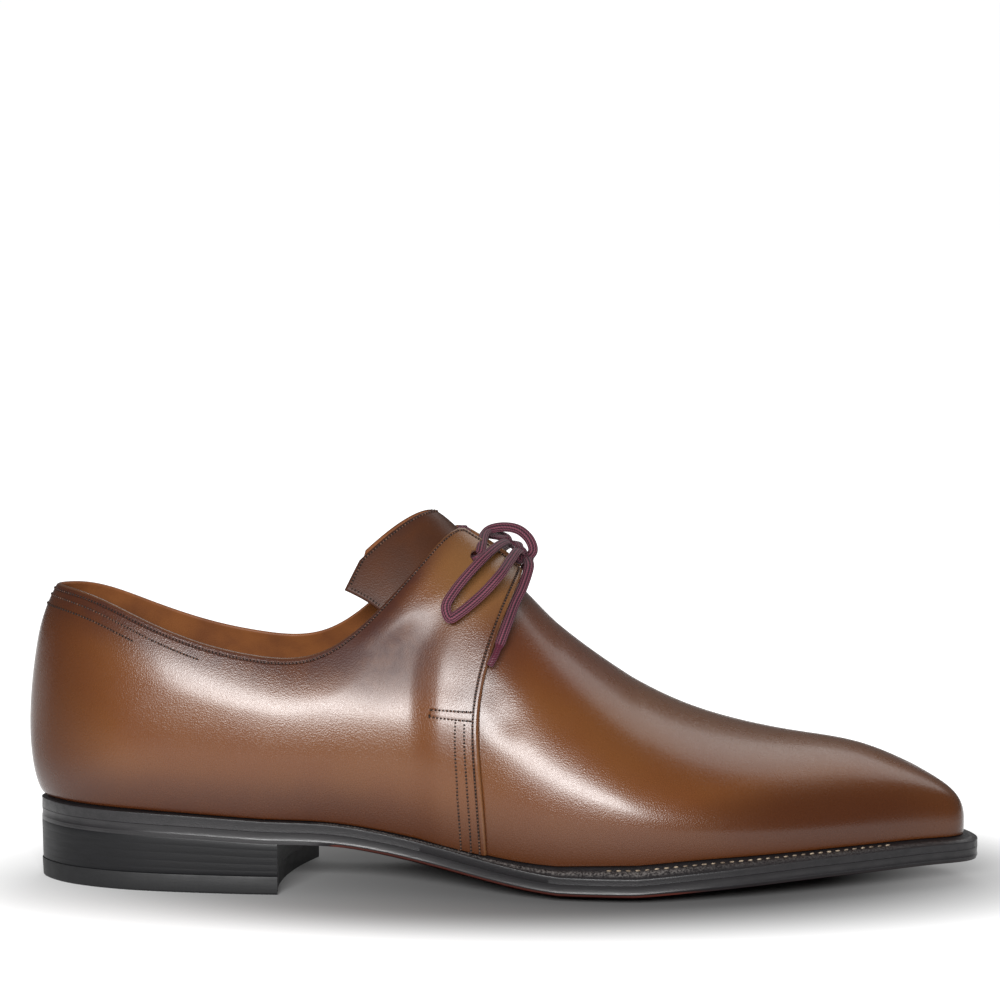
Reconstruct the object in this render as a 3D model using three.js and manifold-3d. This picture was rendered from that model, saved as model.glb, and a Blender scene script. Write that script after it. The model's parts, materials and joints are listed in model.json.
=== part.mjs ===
// A right-foot derby dress shoe with one pair of eyelets, standing on its sole.
// Millimetres. +X runs from the heel to the toe, +Y to the inner side of the foot, +Z up.
// The origin is on the floor, under the middle of the shoe.

import * as THREE from 'three';
import { mergeVertices } from 'three/addons/utils/BufferGeometryUtils.js';
import Module from 'manifold-3d';

const wasm = await Module();
wasm.setup();

// Driving sizes
const length = 314;            // sole, from the heel's curve to the toe
const ballWidth = 104.4;       // sole across the ball
const heelWidth = 63;          // sole across the seat
const heelHeight = 19;         // underside of the outsole at the back of the heel
const toeSpring = 7;           // underside of the outsole at the toe
const soleCrown = 3;           // how far the sole's edge lifts off the floor at the ball
const outsoleThickness = 3.9;
const weltThickness = 2.3;
const weltSlope = 3.3;         // rise of the welt's top from its edge to the upper
const weltWidth = 5;           // welt that shows outside the upper, at the ball
const topPieceThickness = 6;
const insoleThickness = 3;
const instepRise = 93;         // top line of the instep above the welt, at the throat
const backHeight = 71.7;       // collar above the welt, at the back
const bulge = 5.2;             // how far the back of the heel swells past its seat
const wall = 1.6;              // leather with its lining
const seamStep = 1.5;          // how far the facings stand over the vamp
const facingLift = 4.8;        // further lift of a facing's front corner, which nothing holds down
const facingGap = 13;          // between the two facings
const seamOverlap = 10;        // vamp that runs back under the facings
const tongueThickness = 1.8;
const eyeletBore = 4.4;
const laceWidth = 2.7;
const laceThickness = 1.2;
const clearance = 0.3;         // between two pieces that touch
const plateGap = 0.45;         // between the outsole and what lies on it

// Stations at even steps along the shoe, from the heel to the toe.
// heel, spring, crown: underside of the sole as shares of heelHeight, toeSpring and soleCrown.
// welt, slope: shares of weltThickness and weltSlope.
// ridge: height of the last's top line above the welt, as a share of instepRise.
// side: where that line lies, as a share of ballWidth towards the inner side.
// collar: height of the top edge above the welt, as a share of backHeight.
const stations = [
  { heel: 1.000, spring: 0, crown: 0, welt: 1.35, slope: 0.2, ridge: 1.119, side: 0.02, collar: 1.000 },
  { heel: 0.985, spring: 0, crown: 0, welt: 1.35, slope: 0.2, ridge: 1.121, side: 0.018, collar: 0.969 },
  { heel: 0.968, spring: 0, crown: 0, welt: 1.35, slope: 0.15, ridge: 1.126, side: 0.016, collar: 0.870 },
  { heel: 0.937, spring: 0, crown: 0, welt: 1.30, slope: 0.1, ridge: 1.131, side: 0.014, collar: 0.784 },
  { heel: 0.889, spring: 0, crown: 0, welt: 1.25, slope: 0.1, ridge: 1.141, side: 0.011, collar: 0.744 },
  { heel: 0.826, spring: 0, crown: 0.2, welt: 1.15, slope: 0.1, ridge: 1.10, side: 0.008, collar: 0.782 },
  { heel: 0.626, spring: 0, crown: 0.5, welt: 1.05, slope: 0.15, ridge: 1.155, side: 0.006, collar: 1.034 },
  { heel: 0.368, spring: 0, crown: 0.8, welt: 1.00, slope: 0.25, ridge: 1.14, side: 0.008, collar: 1.367 },
  { heel: 0.126, spring: 0, crown: 1, welt: 0.90, slope: 0.45, ridge: 0.957, side: 0.015, collar: 1.684 },
  { heel: -0.01, spring: 0, crown: 1, welt: 0.80, slope: 0.8, ridge: 0.755, side: 0.025, collar: 2.02 },
  { heel: -0.01, spring: 0, crown: 1, welt: 0.75, slope: 1, ridge: 0.593, side: 0.032, collar: 2.3 },
  { heel: 0, spring: 0.19, crown: 1, welt: 0.75, slope: 1, ridge: 0.466, side: 0.036, collar: 2.6 },
  { heel: 0, spring: 0.40, crown: 0.95, welt: 0.80, slope: 0.8, ridge: 0.389, side: 0.038, collar: 2.9 },
  { heel: 0, spring: 0.59, crown: 0.85, welt: 0.85, slope: 0.6, ridge: 0.343, side: 0.036, collar: 3.2 },
  { heel: 0, spring: 0.74, crown: 0.70, welt: 0.90, slope: 0.5, ridge: 0.303, side: 0.033, collar: 3.5 },
  { heel: 0, spring: 0.90, crown: 0.45, welt: 0.90, slope: 0.4, ridge: 0.217, side: 0.028, collar: 3.8 },
  { heel: 0, spring: 1.00, crown: 0.20, welt: 0.90, slope: 0.3, ridge: 0.10, side: 0.02, collar: 4.1 },
];

// Ribs of the last, each from the sole's edge up to the top line, from the heel to the toe.
// outX, outY, inX, inY: the sole's edge on the outer and the inner side, X as a share of length,
// Y as a share of the sole's width there; fore: 0 where that is heelWidth, 1 where it is ballWidth.
// topX: where the rib meets the top line; inset: share of weltWidth.
// outSwell, inSwell: shares of bulge; belly: height of the widest place as a share of the rib's.
// rise, reach: how long the rib keeps upright and how far it lies over before the top line.
const ribs = [
  { outX: -0.490, outY: 0.040, inX: -0.490, inY: 0.040, fore: 0, topX: -0.375, inset: 0.40,
    outSwell: 1.00, inSwell: 1.00, belly: 0.22, rise: 0.30, reach: 0.80 },
  { outX: -0.479, outY: -0.103, inX: -0.479, inY: 0.183, fore: 0, topX: -0.374, inset: 0.45,
    outSwell: 0.85, inSwell: 0.85, belly: 0.21, rise: 0.30, reach: 0.80 },
  { outX: -0.452, outY: -0.246, inX: -0.452, inY: 0.325, fore: 0, topX: -0.370, inset: 0.55,
    outSwell: 0.60, inSwell: 0.60, belly: 0.19, rise: 0.30, reach: 0.80 },
  { outX: -0.395, outY: -0.389, inX: -0.395, inY: 0.444, fore: 0, topX: -0.352, inset: 0.60,
    outSwell: 0.45, inSwell: 0.45, belly: 0.18, rise: 0.30, reach: 0.80 },
  { outX: -0.315, outY: -0.476, inX: -0.306, inY: 0.500, fore: 0, topX: -0.296, inset: 0.60,
    outSwell: 0.35, inSwell: 0.45, belly: 0.18, rise: 0.30, reach: 0.80 },
  { outX: -0.229, outY: -0.507, inX: -0.213, inY: 0.472, fore: 0.05, topX: -0.222, inset: 0.60,
    outSwell: 0.30, inSwell: 0.60, belly: 0.18, rise: 0.40, reach: 0.50 },
  { outX: -0.143, outY: -0.466, inX: -0.131, inY: 0.366, fore: 0.20, topX: -0.146, inset: 0.62,
    outSwell: 0.30, inSwell: 0.80, belly: 0.18, rise: 0.55, reach: 0.30 },
  { outX: -0.070, outY: -0.428, inX: -0.054, inY: 0.321, fore: 0.58, topX: -0.076, inset: 0.70,
    outSwell: 0.30, inSwell: 0.80, belly: 0.18, rise: 0.50, reach: 0.36 },
  { outX: 0.000, outY: -0.445, inX: 0.016, inY: 0.347, fore: 0.90, topX: -0.010, inset: 0.82,
    outSwell: 0.30, inSwell: 0.60, belly: 0.18, rise: 0.45, reach: 0.46 },
  { outX: 0.070, outY: -0.482, inX: 0.083, inY: 0.412, fore: 1, topX: 0.054, inset: 0.95,
    outSwell: 0.30, inSwell: 0.40, belly: 0.19, rise: 0.42, reach: 0.55 },
  { outX: 0.140, outY: -0.501, inX: 0.147, inY: 0.471, fore: 1, topX: 0.122, inset: 1.00,
    outSwell: 0.28, inSwell: 0.30, belly: 0.20, rise: 0.44, reach: 0.54 },
  { outX: 0.210, outY: -0.479, inX: 0.210, inY: 0.497, fore: 1, topX: 0.190, inset: 1.00,
    outSwell: 0.24, inSwell: 0.25, belly: 0.20, rise: 0.44, reach: 0.55 },
  { outX: 0.277, outY: -0.426, inX: 0.274, inY: 0.481, fore: 1, topX: 0.255, inset: 0.98,
    outSwell: 0.20, inSwell: 0.20, belly: 0.20, rise: 0.44, reach: 0.57 },
  { outX: 0.341, outY: -0.352, inX: 0.330, inY: 0.423, fore: 1, topX: 0.312, inset: 0.94,
    outSwell: 0.16, inSwell: 0.16, belly: 0.20, rise: 0.45, reach: 0.60 },
  { outX: 0.395, outY: -0.281, inX: 0.377, inY: 0.347, fore: 1, topX: 0.354, inset: 0.95,
    outSwell: 0.12, inSwell: 0.12, belly: 0.20, rise: 0.47, reach: 0.64 },
  { outX: 0.439, outY: -0.216, inX: 0.420, inY: 0.263, fore: 1, topX: 0.384, inset: 0.97,
    outSwell: 0.10, inSwell: 0.10, belly: 0.20, rise: 0.49, reach: 0.68 },
  { outX: 0.473, outY: -0.168, inX: 0.451, inY: 0.196, fore: 1, topX: 0.403, inset: 1.00,
    outSwell: 0.08, inSwell: 0.08, belly: 0.20, rise: 0.50, reach: 0.70 },
  { outX: 0.490, outY: -0.132, inX: 0.473, inY: 0.144, fore: 1, topX: 0.412, inset: 1.02,
    outSwell: 0.07, inSwell: 0.07, belly: 0.20, rise: 0.50, reach: 0.70 },
  { outX: 0.4985, outY: -0.077, inX: 0.484, inY: 0.100, fore: 1, topX: 0.417, inset: 1.02,
    outSwell: 0.06, inSwell: 0.06, belly: 0.20, rise: 0.50, reach: 0.70 },
  { outX: 0.4955, outY: 0.012, inX: 0.4955, inY: 0.012, fore: 1, topX: 0.419, inset: 1.02,
    outSwell: 0.06, inSwell: 0.06, belly: 0.20, rise: 0.50, reach: 0.70 },
];

// Side seam of the facing at five even heights, as shares of length
const seamLine = [-0.0178, -0.0229, -0.0255, -0.0095, 0.0130];

const toeRib = ribs.length - 1;
const ribCount = 2 * toeRib;

// Smooth curve through values at even steps, as the weights of a cubic B-spline

function splineWeights(values, closed) {
  const last = values.length - 1;
  const weights = values.slice();
  for (let round = 0; round < 40; round++) {
    const from = closed ? 0 : 1;
    const to = closed ? last : last - 1;
    for (let i = from; i <= to; i++) {
      const before = weights[(i + last) % (last + 1)];
      const after = weights[(i + 1) % (last + 1)];
      weights[i] = (6 * values[i] - before - after) / 4;
    }
  }
  return weights;
}

function smoothCurve(values, closed) {
  const weights = splineWeights(values, closed);
  const count = weights.length;
  const weight = (i) => {
    if (closed) return weights[((i % count) + count) % count];
    if (i < 0) return 2 * weights[0] - weights[1];
    if (i >= count) return 2 * weights[count - 1] - weights[count - 2];
    return weights[i];
  };
  return (at) => {
    const i = closed ? Math.floor(at) : Math.min(Math.max(Math.floor(at), 0), count - 2);
    const t = at - i;
    const r = 1 - t;
    const first = r * r * r / 6;
    const second = (3 * t * t * t - 6 * t * t + 4) / 6;
    const third = (3 * r * r * r - 6 * r * r + 4) / 6;
    const fourth = t * t * t / 6;
    return first * weight(i - 1) + second * weight(i) + third * weight(i + 1) + fourth * weight(i + 2);
  };
}

const lerp = (a, b, t) => a + (b - a) * t;
const clamp01 = (t) => Math.min(1, Math.max(0, t));
const ease = (t) => clamp01(t) * clamp01(t) * (3 - 2 * clamp01(t));

function alongShoe(column) {
  const curve = smoothCurve(stations.map((row) => row[column]), false);
  return (x) => curve((x / length + 0.5) * (stations.length - 1));
}

const heelShare = alongShoe('heel');
const springShare = alongShoe('spring');
const crownShare = alongShoe('crown');
const weltShare = alongShoe('welt');
const slopeShare = alongShoe('slope');
const ridgeShare = alongShoe('ridge');
const ridgeSide = alongShoe('side');
const collarShare = alongShoe('collar');

function roundShoe(outer, inner) {
  const column = (i) => (i <= toeRib ? outer(ribs[i]) : inner(ribs[ribCount - i]));
  return smoothCurve(Array.from({ length: ribCount }, (_, i) => column(i)), true);
}

const soleWidthAt = (rib) => lerp(heelWidth, ballWidth, rib.fore);
const edgeX = roundShoe((rib) => rib.outX * length, (rib) => rib.inX * length);
const edgeY = roundShoe((rib) => rib.outY * soleWidthAt(rib), (rib) => rib.inY * soleWidthAt(rib));
const topX = roundShoe((rib) => rib.topX * length, (rib) => rib.topX * length);
const insetAt = roundShoe((rib) => rib.inset * weltWidth, (rib) => rib.inset * weltWidth);
const swellAt = roundShoe((rib) => rib.outSwell * bulge, (rib) => rib.inSwell * bulge);
const bellyAt = roundShoe((rib) => rib.belly, (rib) => rib.belly);
const riseAt = roundShoe((rib) => rib.rise, (rib) => rib.rise);
const reachAt = roundShoe((rib) => rib.reach, (rib) => rib.reach);

// Heights of the sole's layers; across runs from 0 at the middle to 1 at the edge

const flatShare = 0.35;        // middle of the sole that is flat across

function soleBottom(x, across) {
  const middle = Math.max(0, heelShare(x) * heelHeight + springShare(x) * toeSpring);
  const lift = Math.max(0, (Math.abs(across) - flatShare) / (1 - flatShare));
  return middle + Math.max(0, crownShare(x)) * soleCrown * lift * lift;
}
const outsoleTop = (x, across) => soleBottom(x, across) + outsoleThickness;
const weltBottom = (x) => outsoleTop(x, 1) + plateGap;
const weltEdgeTop = (x) => weltBottom(x) + weltShare(x) * weltThickness;
const weltInnerTop = (x) => weltEdgeTop(x) + slopeShare(x) * weltSlope;
const featherZ = (x) => weltInnerTop(x) + clearance;
const ridgeZ = (x) => featherZ(x) + ridgeShare(x) * instepRise;
const collarZ = (x) => featherZ(x) + collarShare(x) * backHeight;

// The last: a point at a rib place and a height share, 0 at the welt and 1 on the top line

const bellyHeight = 0.25;      // height share where a rib is widest
const slopeReach = 0.5;        // half of the stretch over which the top line's slope is taken

function inPlan(place, inset) {
  const top = { x: topX(place), y: ridgeSide(topX(place)) * ballWidth };
  const edge = { x: edgeX(place), y: edgeY(place) };
  const run = Math.hypot(edge.x - top.x, edge.y - top.y);
  const out = { x: (edge.x - top.x) / run, y: (edge.y - top.y) / run };
  return { x: edge.x - out.x * inset, y: edge.y - out.y * inset, top, out };
}

function lastPoint(place, height) {
  const foot = inPlan(place, insetAt(place));
  const low = featherZ(foot.x);
  const topZ = ridgeZ(foot.top.x);
  const swell = swellAt(place);
  const belly = low + bellyAt(place) * (topZ - low);
  if (height < bellyHeight) {
    const turn = (Math.PI / 2) * (height / bellyHeight);
    const out = swell * Math.sin(turn);
    const z = belly - (belly - low) * Math.cos(turn);
    return new THREE.Vector3(foot.x + foot.out.x * out, foot.y + foot.out.y * out, z);
  }
  const slope = (ridgeZ(foot.top.x + slopeReach) - ridgeZ(foot.top.x - slopeReach)) / (2 * slopeReach);
  const t = (height - bellyHeight) / (1 - bellyHeight);
  const wide = new THREE.Vector3(foot.x + foot.out.x * swell, foot.y + foot.out.y * swell, belly);
  const high = new THREE.Vector3(foot.top.x, foot.top.y, topZ);
  const over = new THREE.Vector3(wide.x - high.x, wide.y - high.y, 0).multiplyScalar(reachAt(place));
  over.z = slope * over.x;
  const upright = wide.clone().setZ(lerp(belly, topZ, riseAt(place)));
  const curve = new THREE.CubicBezierCurve3(wide, upright, high.clone().add(over), high);
  return curve.getPoint(t);
}

const nudge = 0.004;

function lastNormal(place, height) {
  const x = topX(place);
  if (height > 1 - nudge) {
    const slope = (ridgeZ(x + slopeReach) - ridgeZ(x - slopeReach)) / (2 * slopeReach);
    return new THREE.Vector3(-slope, 0, 1).normalize();
  }
  const lower = Math.max(0, height - nudge);
  const along = lastPoint(place + nudge, height).sub(lastPoint(place - nudge, height));
  const up = lastPoint(place, height + nudge).sub(lastPoint(place, lower));
  const normal = along.cross(up).normalize();
  normal.z *= ease(height / bellyHeight);
  return normal.normalize();
}

function skin(place, height, offset) {
  const point = lastPoint(place, height);
  return point.addScaledVector(lastNormal(place, height), offset);
}

// Where a drawn line of the pattern crosses the last; places past the toe are the inner side

const mirrored = (place, inner) => (inner ? ribCount - place : place);

function solve(test, low, high) {
  for (let round = 0; round < 28; round++) {
    const middle = (low + high) / 2;
    if (test(middle) > 0) high = middle;
    else low = middle;
  }
  return (low + high) / 2;
}

const seamCurve = smoothCurve(seamLine, false);
const seamX = (x, z) => seamCurve(4 * (z - featherZ(x)) / instepRise) * length;

function seamPlace(height, inner, back) {
  const ahead = (place) => {
    const point = lastPoint(mirrored(place, inner), height);
    return point.x - seamX(point.x, point.z) + back;
  };
  return solve(ahead, 5, 11);
}

function collarHeight(place, inner) {
  const above = (height) => {
    const point = lastPoint(mirrored(place, inner), height);
    return point.z - collarZ(point.x);
  };
  return solve(above, bellyHeight, 1);
}

function gapHeight(place, inner) {
  if (place < heelRibs) return 1;
  const near = (height) => {
    const point = lastPoint(mirrored(place, inner), height);
    return facingGap / 2 - Math.abs(point.y - ridgeSide(point.x) * ballWidth);
  };
  return solve(near, bellyHeight, 1);
}

const cornerRounding = 0.13;   // height share over which the facing's upper corner is rounded
const heelRibs = 4;            // ribs behind this one never reach the gap between the facings

function topHeight(place, inner) {
  const collar = collarHeight(place, inner);
  const gap = gapHeight(place, inner);
  const blend = Math.max(0, cornerRounding - Math.abs(collar - gap)) / cornerRounding;
  return Math.min(collar, gap) - blend * blend * cornerRounding / 4;
}

// Closed solids from a cube of even steps mapped to a shape

function gridFace(columns, rows, pointAt, flip, out) {
  for (let i = 0; i < columns; i++) {
    for (let j = 0; j < rows; j++) {
      const corners = [pointAt(i, j), pointAt(i + 1, j), pointAt(i + 1, j + 1), pointAt(i, j + 1)];
      const turned = flip ? [0, 2, 1, 0, 3, 2] : [0, 1, 2, 0, 2, 3];
      turned.forEach((k) => out.push(corners[k].x, corners[k].y, corners[k].z));
    }
  }
}

function welded(positions) {
  const loose = new THREE.BufferGeometry();
  loose.setAttribute('position', new THREE.Float32BufferAttribute(positions, 3));
  const merged = mergeVertices(loose, 1e-4);
  const index = Array.from(merged.index.array);
  const kept = [];
  for (let i = 0; i < index.length; i += 3) {
    const [a, b, c] = index.slice(i, i + 3);
    if (a !== b && b !== c && c !== a) kept.push(a, b, c);
  }
  merged.setIndex(kept);
  return merged;
}

// shape(u, v, w) takes shares from 0 to 1; ends: false leaves off the faces at u = 0 and 1,
// lastEnd: false the face at u = 1 only
function block(steps, shape, { ends = true, lastEnd = true, flip = false } = {}) {
  const [nu, nv, nw] = steps;
  const store = new Map();
  const at = (i, j, k) => {
    const key = (i * (nv + 1) + j) * (nw + 1) + k;
    if (!store.has(key)) store.set(key, shape(i / nu, j / nv, k / nw));
    return store.get(key);
  };
  const out = [];
  gridFace(nu, nv, (i, j) => at(i, j, 0), !flip, out);
  gridFace(nu, nv, (i, j) => at(i, j, nw), flip, out);
  gridFace(nu, nw, (i, k) => at(i, 0, k), flip, out);
  gridFace(nu, nw, (i, k) => at(i, nv, k), !flip, out);
  if (ends) gridFace(nv, nw, (j, k) => at(0, j, k), !flip, out);
  if (ends && lastEnd) gridFace(nv, nw, (j, k) => at(nu, j, k), flip, out);
  return welded(out);
}

function toSolid(geometry) {
  const plain = geometry.clone();
  plain.deleteAttribute('normal');
  plain.deleteAttribute('uv');
  const merged = mergeVertices(plain, 1e-4);
  const vertProperties = new Float32Array(merged.attributes.position.array);
  const triVerts = new Uint32Array(merged.index.array);
  return new wasm.Manifold(new wasm.Mesh({ numProp: 3, vertProperties, triVerts }));
}

function toGeometry(solid) {
  const mesh = solid.getMesh();
  const geometry = new THREE.BufferGeometry();
  const positions = new Float32Array(mesh.vertProperties);
  geometry.setAttribute('position', new THREE.BufferAttribute(positions, 3));
  geometry.setIndex(new THREE.BufferAttribute(new Uint32Array(mesh.triVerts), 1));
  return geometry;
}

// Upper: vamp and quarters, which share one wall, with the facings a step higher

const vampSteps = [20, 20, 1];
const quarterSteps = [54, 9, 1];

function vampShape(u, v, w) {
  const across = 2 * v - 1;
  const height = 1 - Math.abs(across);
  const inner = across > 0;
  const start = seamPlace(height, inner, seamOverlap);
  const place = lerp(start, toeRib, u);
  return skin(mirrored(place, inner), height, lerp(-wall, 0, w));
}

const stepFull = 14;           // facing that stands at its full step, back from the seam
const stepFade = 12;           // stretch over which the step dies out behind it
const tabFull = 34;            // the same full step, near the eyelet
const quarterBite = 0.4;       // depth by which the joined leathers share their thickness
const liftFade = 30;           // length over which the facing's lift dies out behind the seam
const freeFrom = 0.5;          // share of the facing's height below which it is sewn down

function quarterShape(u, v, w) {
  const inner = u > 0.5;
  const fromSeam = 1 - Math.abs(2 * u - 1);
  const back = fromSeam ** 1.25;
  let place = 8;
  let height = v;
  for (let round = 0; round < 6; round++) {
    height = v * topHeight(place, inner);
    place = seamPlace(height, inner, 0) * (1 - back);
  }
  const seam = lastPoint(mirrored(seamPlace(height, inner, 0), inner), height);
  const here = lastPoint(mirrored(place, inner), height);
  const behind = seam.distanceTo(here);
  const full = lerp(stepFull, tabFull, ease((v - 0.7) / 0.25));
  const fade = ease((behind - full) / stepFade);
  const lift = facingLift * (1 - ease(behind / liftFade)) * ease((v - freeFrom) / (1 - freeFrom));
  const inside = lerp(-quarterBite, -wall, fade) + lift;
  const outside = lerp(seamStep, 0.1, fade) + lift;
  return skin(mirrored(place, inner), height, lerp(inside, outside, w));
}

// Plates of the sole: each ladder line runs from the outer edge to the inner edge

function ladderPoint(place, v, inset) {
  const outer = inPlan(place, inset(place));
  const inner = inPlan(ribCount - place, inset(ribCount - place));
  return { x: lerp(outer.x, inner.x, v), y: lerp(outer.y, inner.y, v) };
}

function acrossAt(place, point) {
  const outer = { x: edgeX(place), y: edgeY(place) };
  const inner = { x: edgeX(ribCount - place), y: edgeY(ribCount - place) };
  const width = Math.hypot(inner.x - outer.x, inner.y - outer.y);
  if (width < 1e-6) return 1;
  const toInner = (point.x - outer.x) * (inner.x - outer.x) + (point.y - outer.y) * (inner.y - outer.y);
  return Math.max(-1, Math.min(1, 2 * toInner / (width * width) - 1));
}

function outsoleShape(u, v, w) {
  const place = u * toeRib;
  const at = ladderPoint(place, v, () => 0);
  const z = soleBottom(at.x, acrossAt(place, at)) + w * outsoleThickness;
  return new THREE.Vector3(at.x, at.y, z);
}

const weltUnder = 3.5;         // welt that runs in under the upper

function weltShape(u, v, w) {
  const place = u * ribCount;
  const inset = v < 0.5 ? 0 : insetAt(place) + (v > 0.75 ? weltUnder : 0);
  const at = inPlan(place, inset);
  const ladder = place > toeRib ? ribCount - place : place;
  const low = outsoleTop(at.x, acrossAt(ladder, at)) + plateGap;
  const high = v < 0.5 ? weltEdgeTop(at.x) : weltInnerTop(at.x);
  return new THREE.Vector3(at.x, at.y, w > 0.5 ? high : low);
}

const insoleMargin = wall + 3 * clearance;

function insoleShape(u, v, w) {
  const place = u * toeRib;
  const filler = w < 0.5;
  const margin = filler ? weltUnder + clearance : insoleMargin;
  const at = ladderPoint(place, v, (p) => insetAt(p) + margin);
  const levels = [
    outsoleTop(at.x, acrossAt(place, at)) + plateGap,
    featherZ(at.x),
    featherZ(at.x),
    featherZ(at.x) + insoleThickness,
  ];
  return new THREE.Vector3(at.x, at.y, levels[Math.round(3 * w)]);
}

// Heel: a stack of lifts with a hollow front face, and its top piece on the floor

const breastOuter = 4.92;      // rib place of the heel's front corner on the outer side
const breastInner = 5.15;      // and on the inner side, further forward
const breastHollow = 4;        // depth of the front face's hollow
const heelTaper = 0.3;         // each side of the heel draws in by this much at the floor
const heelCrowding = 1.6;      // how much closer the ladder lines lie at the back
const heelSeatGap = 0.5;       // between the stack and the outsole

function heelShape(bottom, top) {
  return (u, v, w) => {
    const inset = () => heelTaper * (1 - w);
    const outer = inPlan(u ** heelCrowding * breastOuter, inset());
    const inner = inPlan(ribCount - u ** heelCrowding * breastInner, inset());
    const hollow = breastHollow * 4 * v * (1 - v) * u ** 6;
    const x = lerp(outer.x, inner.x, v) - hollow;
    const y = lerp(outer.y, inner.y, v);
    return new THREE.Vector3(x, y, w < 0.5 ? bottom(x, 2 * v - 1) : top(x, 2 * v - 1));
  };
}

// Tongue: a band round the instep, square across its top with two clipped corners

// Corners on the outer and the inner side: X as a share of length, height above the welt
// as a share of instepRise
const tongueCorners = {
  top: { outX: -0.070, inX: -0.070, up: null },
  shoulder: { outX: -0.152, inX: -0.147, up: 0.93 },
  clipped: { outX: -0.167, inX: -0.154, up: 0.82 },
  foot: { outX: -0.064, inX: -0.064, up: 0.54 },
  low: { outX: 0.038, inX: 0.038, up: null },
};
const tongueGap = 0.9;         // between the tongue and the vamp above it
const shoulderAt = 0.75;       // share of the half width where the corner is clipped
const tongueBend = 1.6;        // how squarely the top edge leaves the middle

function drawnAt(corner, inner) {
  const x = (inner ? corner.inX : corner.outX) * length;
  if (corner.up === null) {
    const place = solve((p) => topX(p) - x, 0, toeRib);
    return { place, height: 1 };
  }
  let place = 6;
  let height = 0.7;
  for (let round = 0; round < 8; round++) {
    height = solve((h) => {
      const point = lastPoint(mirrored(place, inner), h);
      return point.z - featherZ(point.x) - corner.up * instepRise;
    }, bellyHeight, 1);
    place = solve((p) => lastPoint(mirrored(p, inner), height).x - x, 3, 12);
  }
  return { place, height };
}

function tongueEdges(inner) {
  const corners = {};
  for (const [name, corner] of Object.entries(tongueCorners)) corners[name] = drawnAt(corner, inner);
  return corners;
}
const tongueOuter = tongueEdges(false);
const tongueInner = tongueEdges(true);

function mix(a, b, t, bend = 1) {
  return { place: lerp(a.place, b.place, t ** bend), height: lerp(a.height, b.height, t) };
}

function tonguePlace(u, out, edges) {
  const top = out < shoulderAt
    ? mix(edges.top, edges.shoulder, out / shoulderAt, tongueBend)
    : mix(edges.shoulder, edges.clipped, (out - shoulderAt) / (1 - shoulderAt));
  const bottom = mix(edges.low, edges.foot, out, tongueBend);
  return mix(bottom, top, u);
}

function tongueShape(u, v, w) {
  const across = 2 * v - 1;
  const inner = across > 0;
  const at = tonguePlace(u, Math.abs(across), inner ? tongueInner : tongueOuter);
  const offset = -wall - tongueGap - (1 - w) * tongueThickness;
  return skin(mirrored(at.place, inner), at.height, offset);
}

// Eyelets, and the lace between them

// Middle of the eyelet: X as a share of length, height above the welt as a share of instepRise
const eyelet = { outX: -0.0335, inX: -0.0335, up: 0.985 };

function facingOffset(place, inner, height) {
  const seam = lastPoint(mirrored(seamPlace(height, inner, 0), inner), height);
  const behind = seam.distanceTo(lastPoint(mirrored(place, inner), height));
  const v = height / topHeight(place, inner);
  const lift = facingLift * (1 - ease(behind / liftFade)) * ease((v - freeFrom) / (1 - freeFrom));
  return { inside: lift - quarterBite, outside: lift + seamStep };
}

function eyeletFrame(inner) {
  const at = drawnAt(eyelet, inner);
  const place = mirrored(at.place, inner);
  const normal = lastNormal(place, at.height);
  const toMiddle = lastPoint(place, at.height + nudge).sub(lastPoint(place, at.height));
  const step = toMiddle.length() / nudge;
  const faces = facingOffset(at.place, inner, at.height);
  return { place, height: at.height, normal, step, faces };
}
const eyelets = [eyeletFrame(false), eyeletFrame(true)];

const boreDepth = 9;

// The lace passes under the facings across the tongue, up through each eyelet and on to the knot

const laceTurn = eyeletBore / 2;  // radius of its middle round the edge of an eyelet
const turnSteps = 4;
const knotAt = { x: 0.012, above: 11 };  // X as a share of length, height above the last
const underRuns = [19, 14, 8]; // surface distance from the eyelet towards the middle
const underLift = 0.5;         // further lift of the lace off the tongue
const overRuns = [5.5, 10];
const overLift = 0.3;          // rise of the lace off the facing, for each run
const overLean = 0.016;        // rib places by which the lace leans forward, for each run
const toKnot = [[-7, 5.5, 6.6], [-3.5, 1.7, 3.5]];  // last points, from the knot's middle

const laceUnder = -wall - tongueGap + clearance + laceThickness / 2 + underLift;

function knotMiddle() {
  const x = knotAt.x * length;
  return new THREE.Vector3(x, ridgeSide(x) * ballWidth, ridgeZ(x) + knotAt.above);
}

function laceSide(frame, inner) {
  const side = inner ? -1 : 1;
  const { inside, outside } = frame.faces;
  const path = [];
  const onLast = (run, offset, lean = 0) => {
    const height = frame.height + run / frame.step;
    const up = lastPoint(frame.place, height + nudge).sub(lastPoint(frame.place, height - nudge));
    const across = lastNormal(frame.place, height).cross(up).multiplyScalar(side).normalize();
    path.push({ point: skin(frame.place + lean * side, height, offset), across });
  };
  underRuns.forEach((run) => onLast(run, laceUnder));
  const rim = eyeletBore / 2;
  for (let i = 0; i <= turnSteps; i++) {
    const turn = (Math.PI / 2) * (i / turnSteps);
    onLast(rim - laceTurn * Math.sin(turn), inside - laceTurn * Math.cos(turn));
  }
  for (let i = turnSteps; i >= 0; i--) {
    const turn = (Math.PI / 2) * (i / turnSteps);
    onLast(rim - laceTurn * Math.sin(turn), outside + laceTurn * Math.cos(turn));
  }
  overRuns.forEach((run) => onLast(run, outside + overLift * run, overLean * run));
  const { across } = path[path.length - 1];
  toKnot.forEach(([x, y, z]) => {
    path.push({ point: knotMiddle().add(new THREE.Vector3(x, -side * y, z)), across });
  });
  return path;
}

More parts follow.
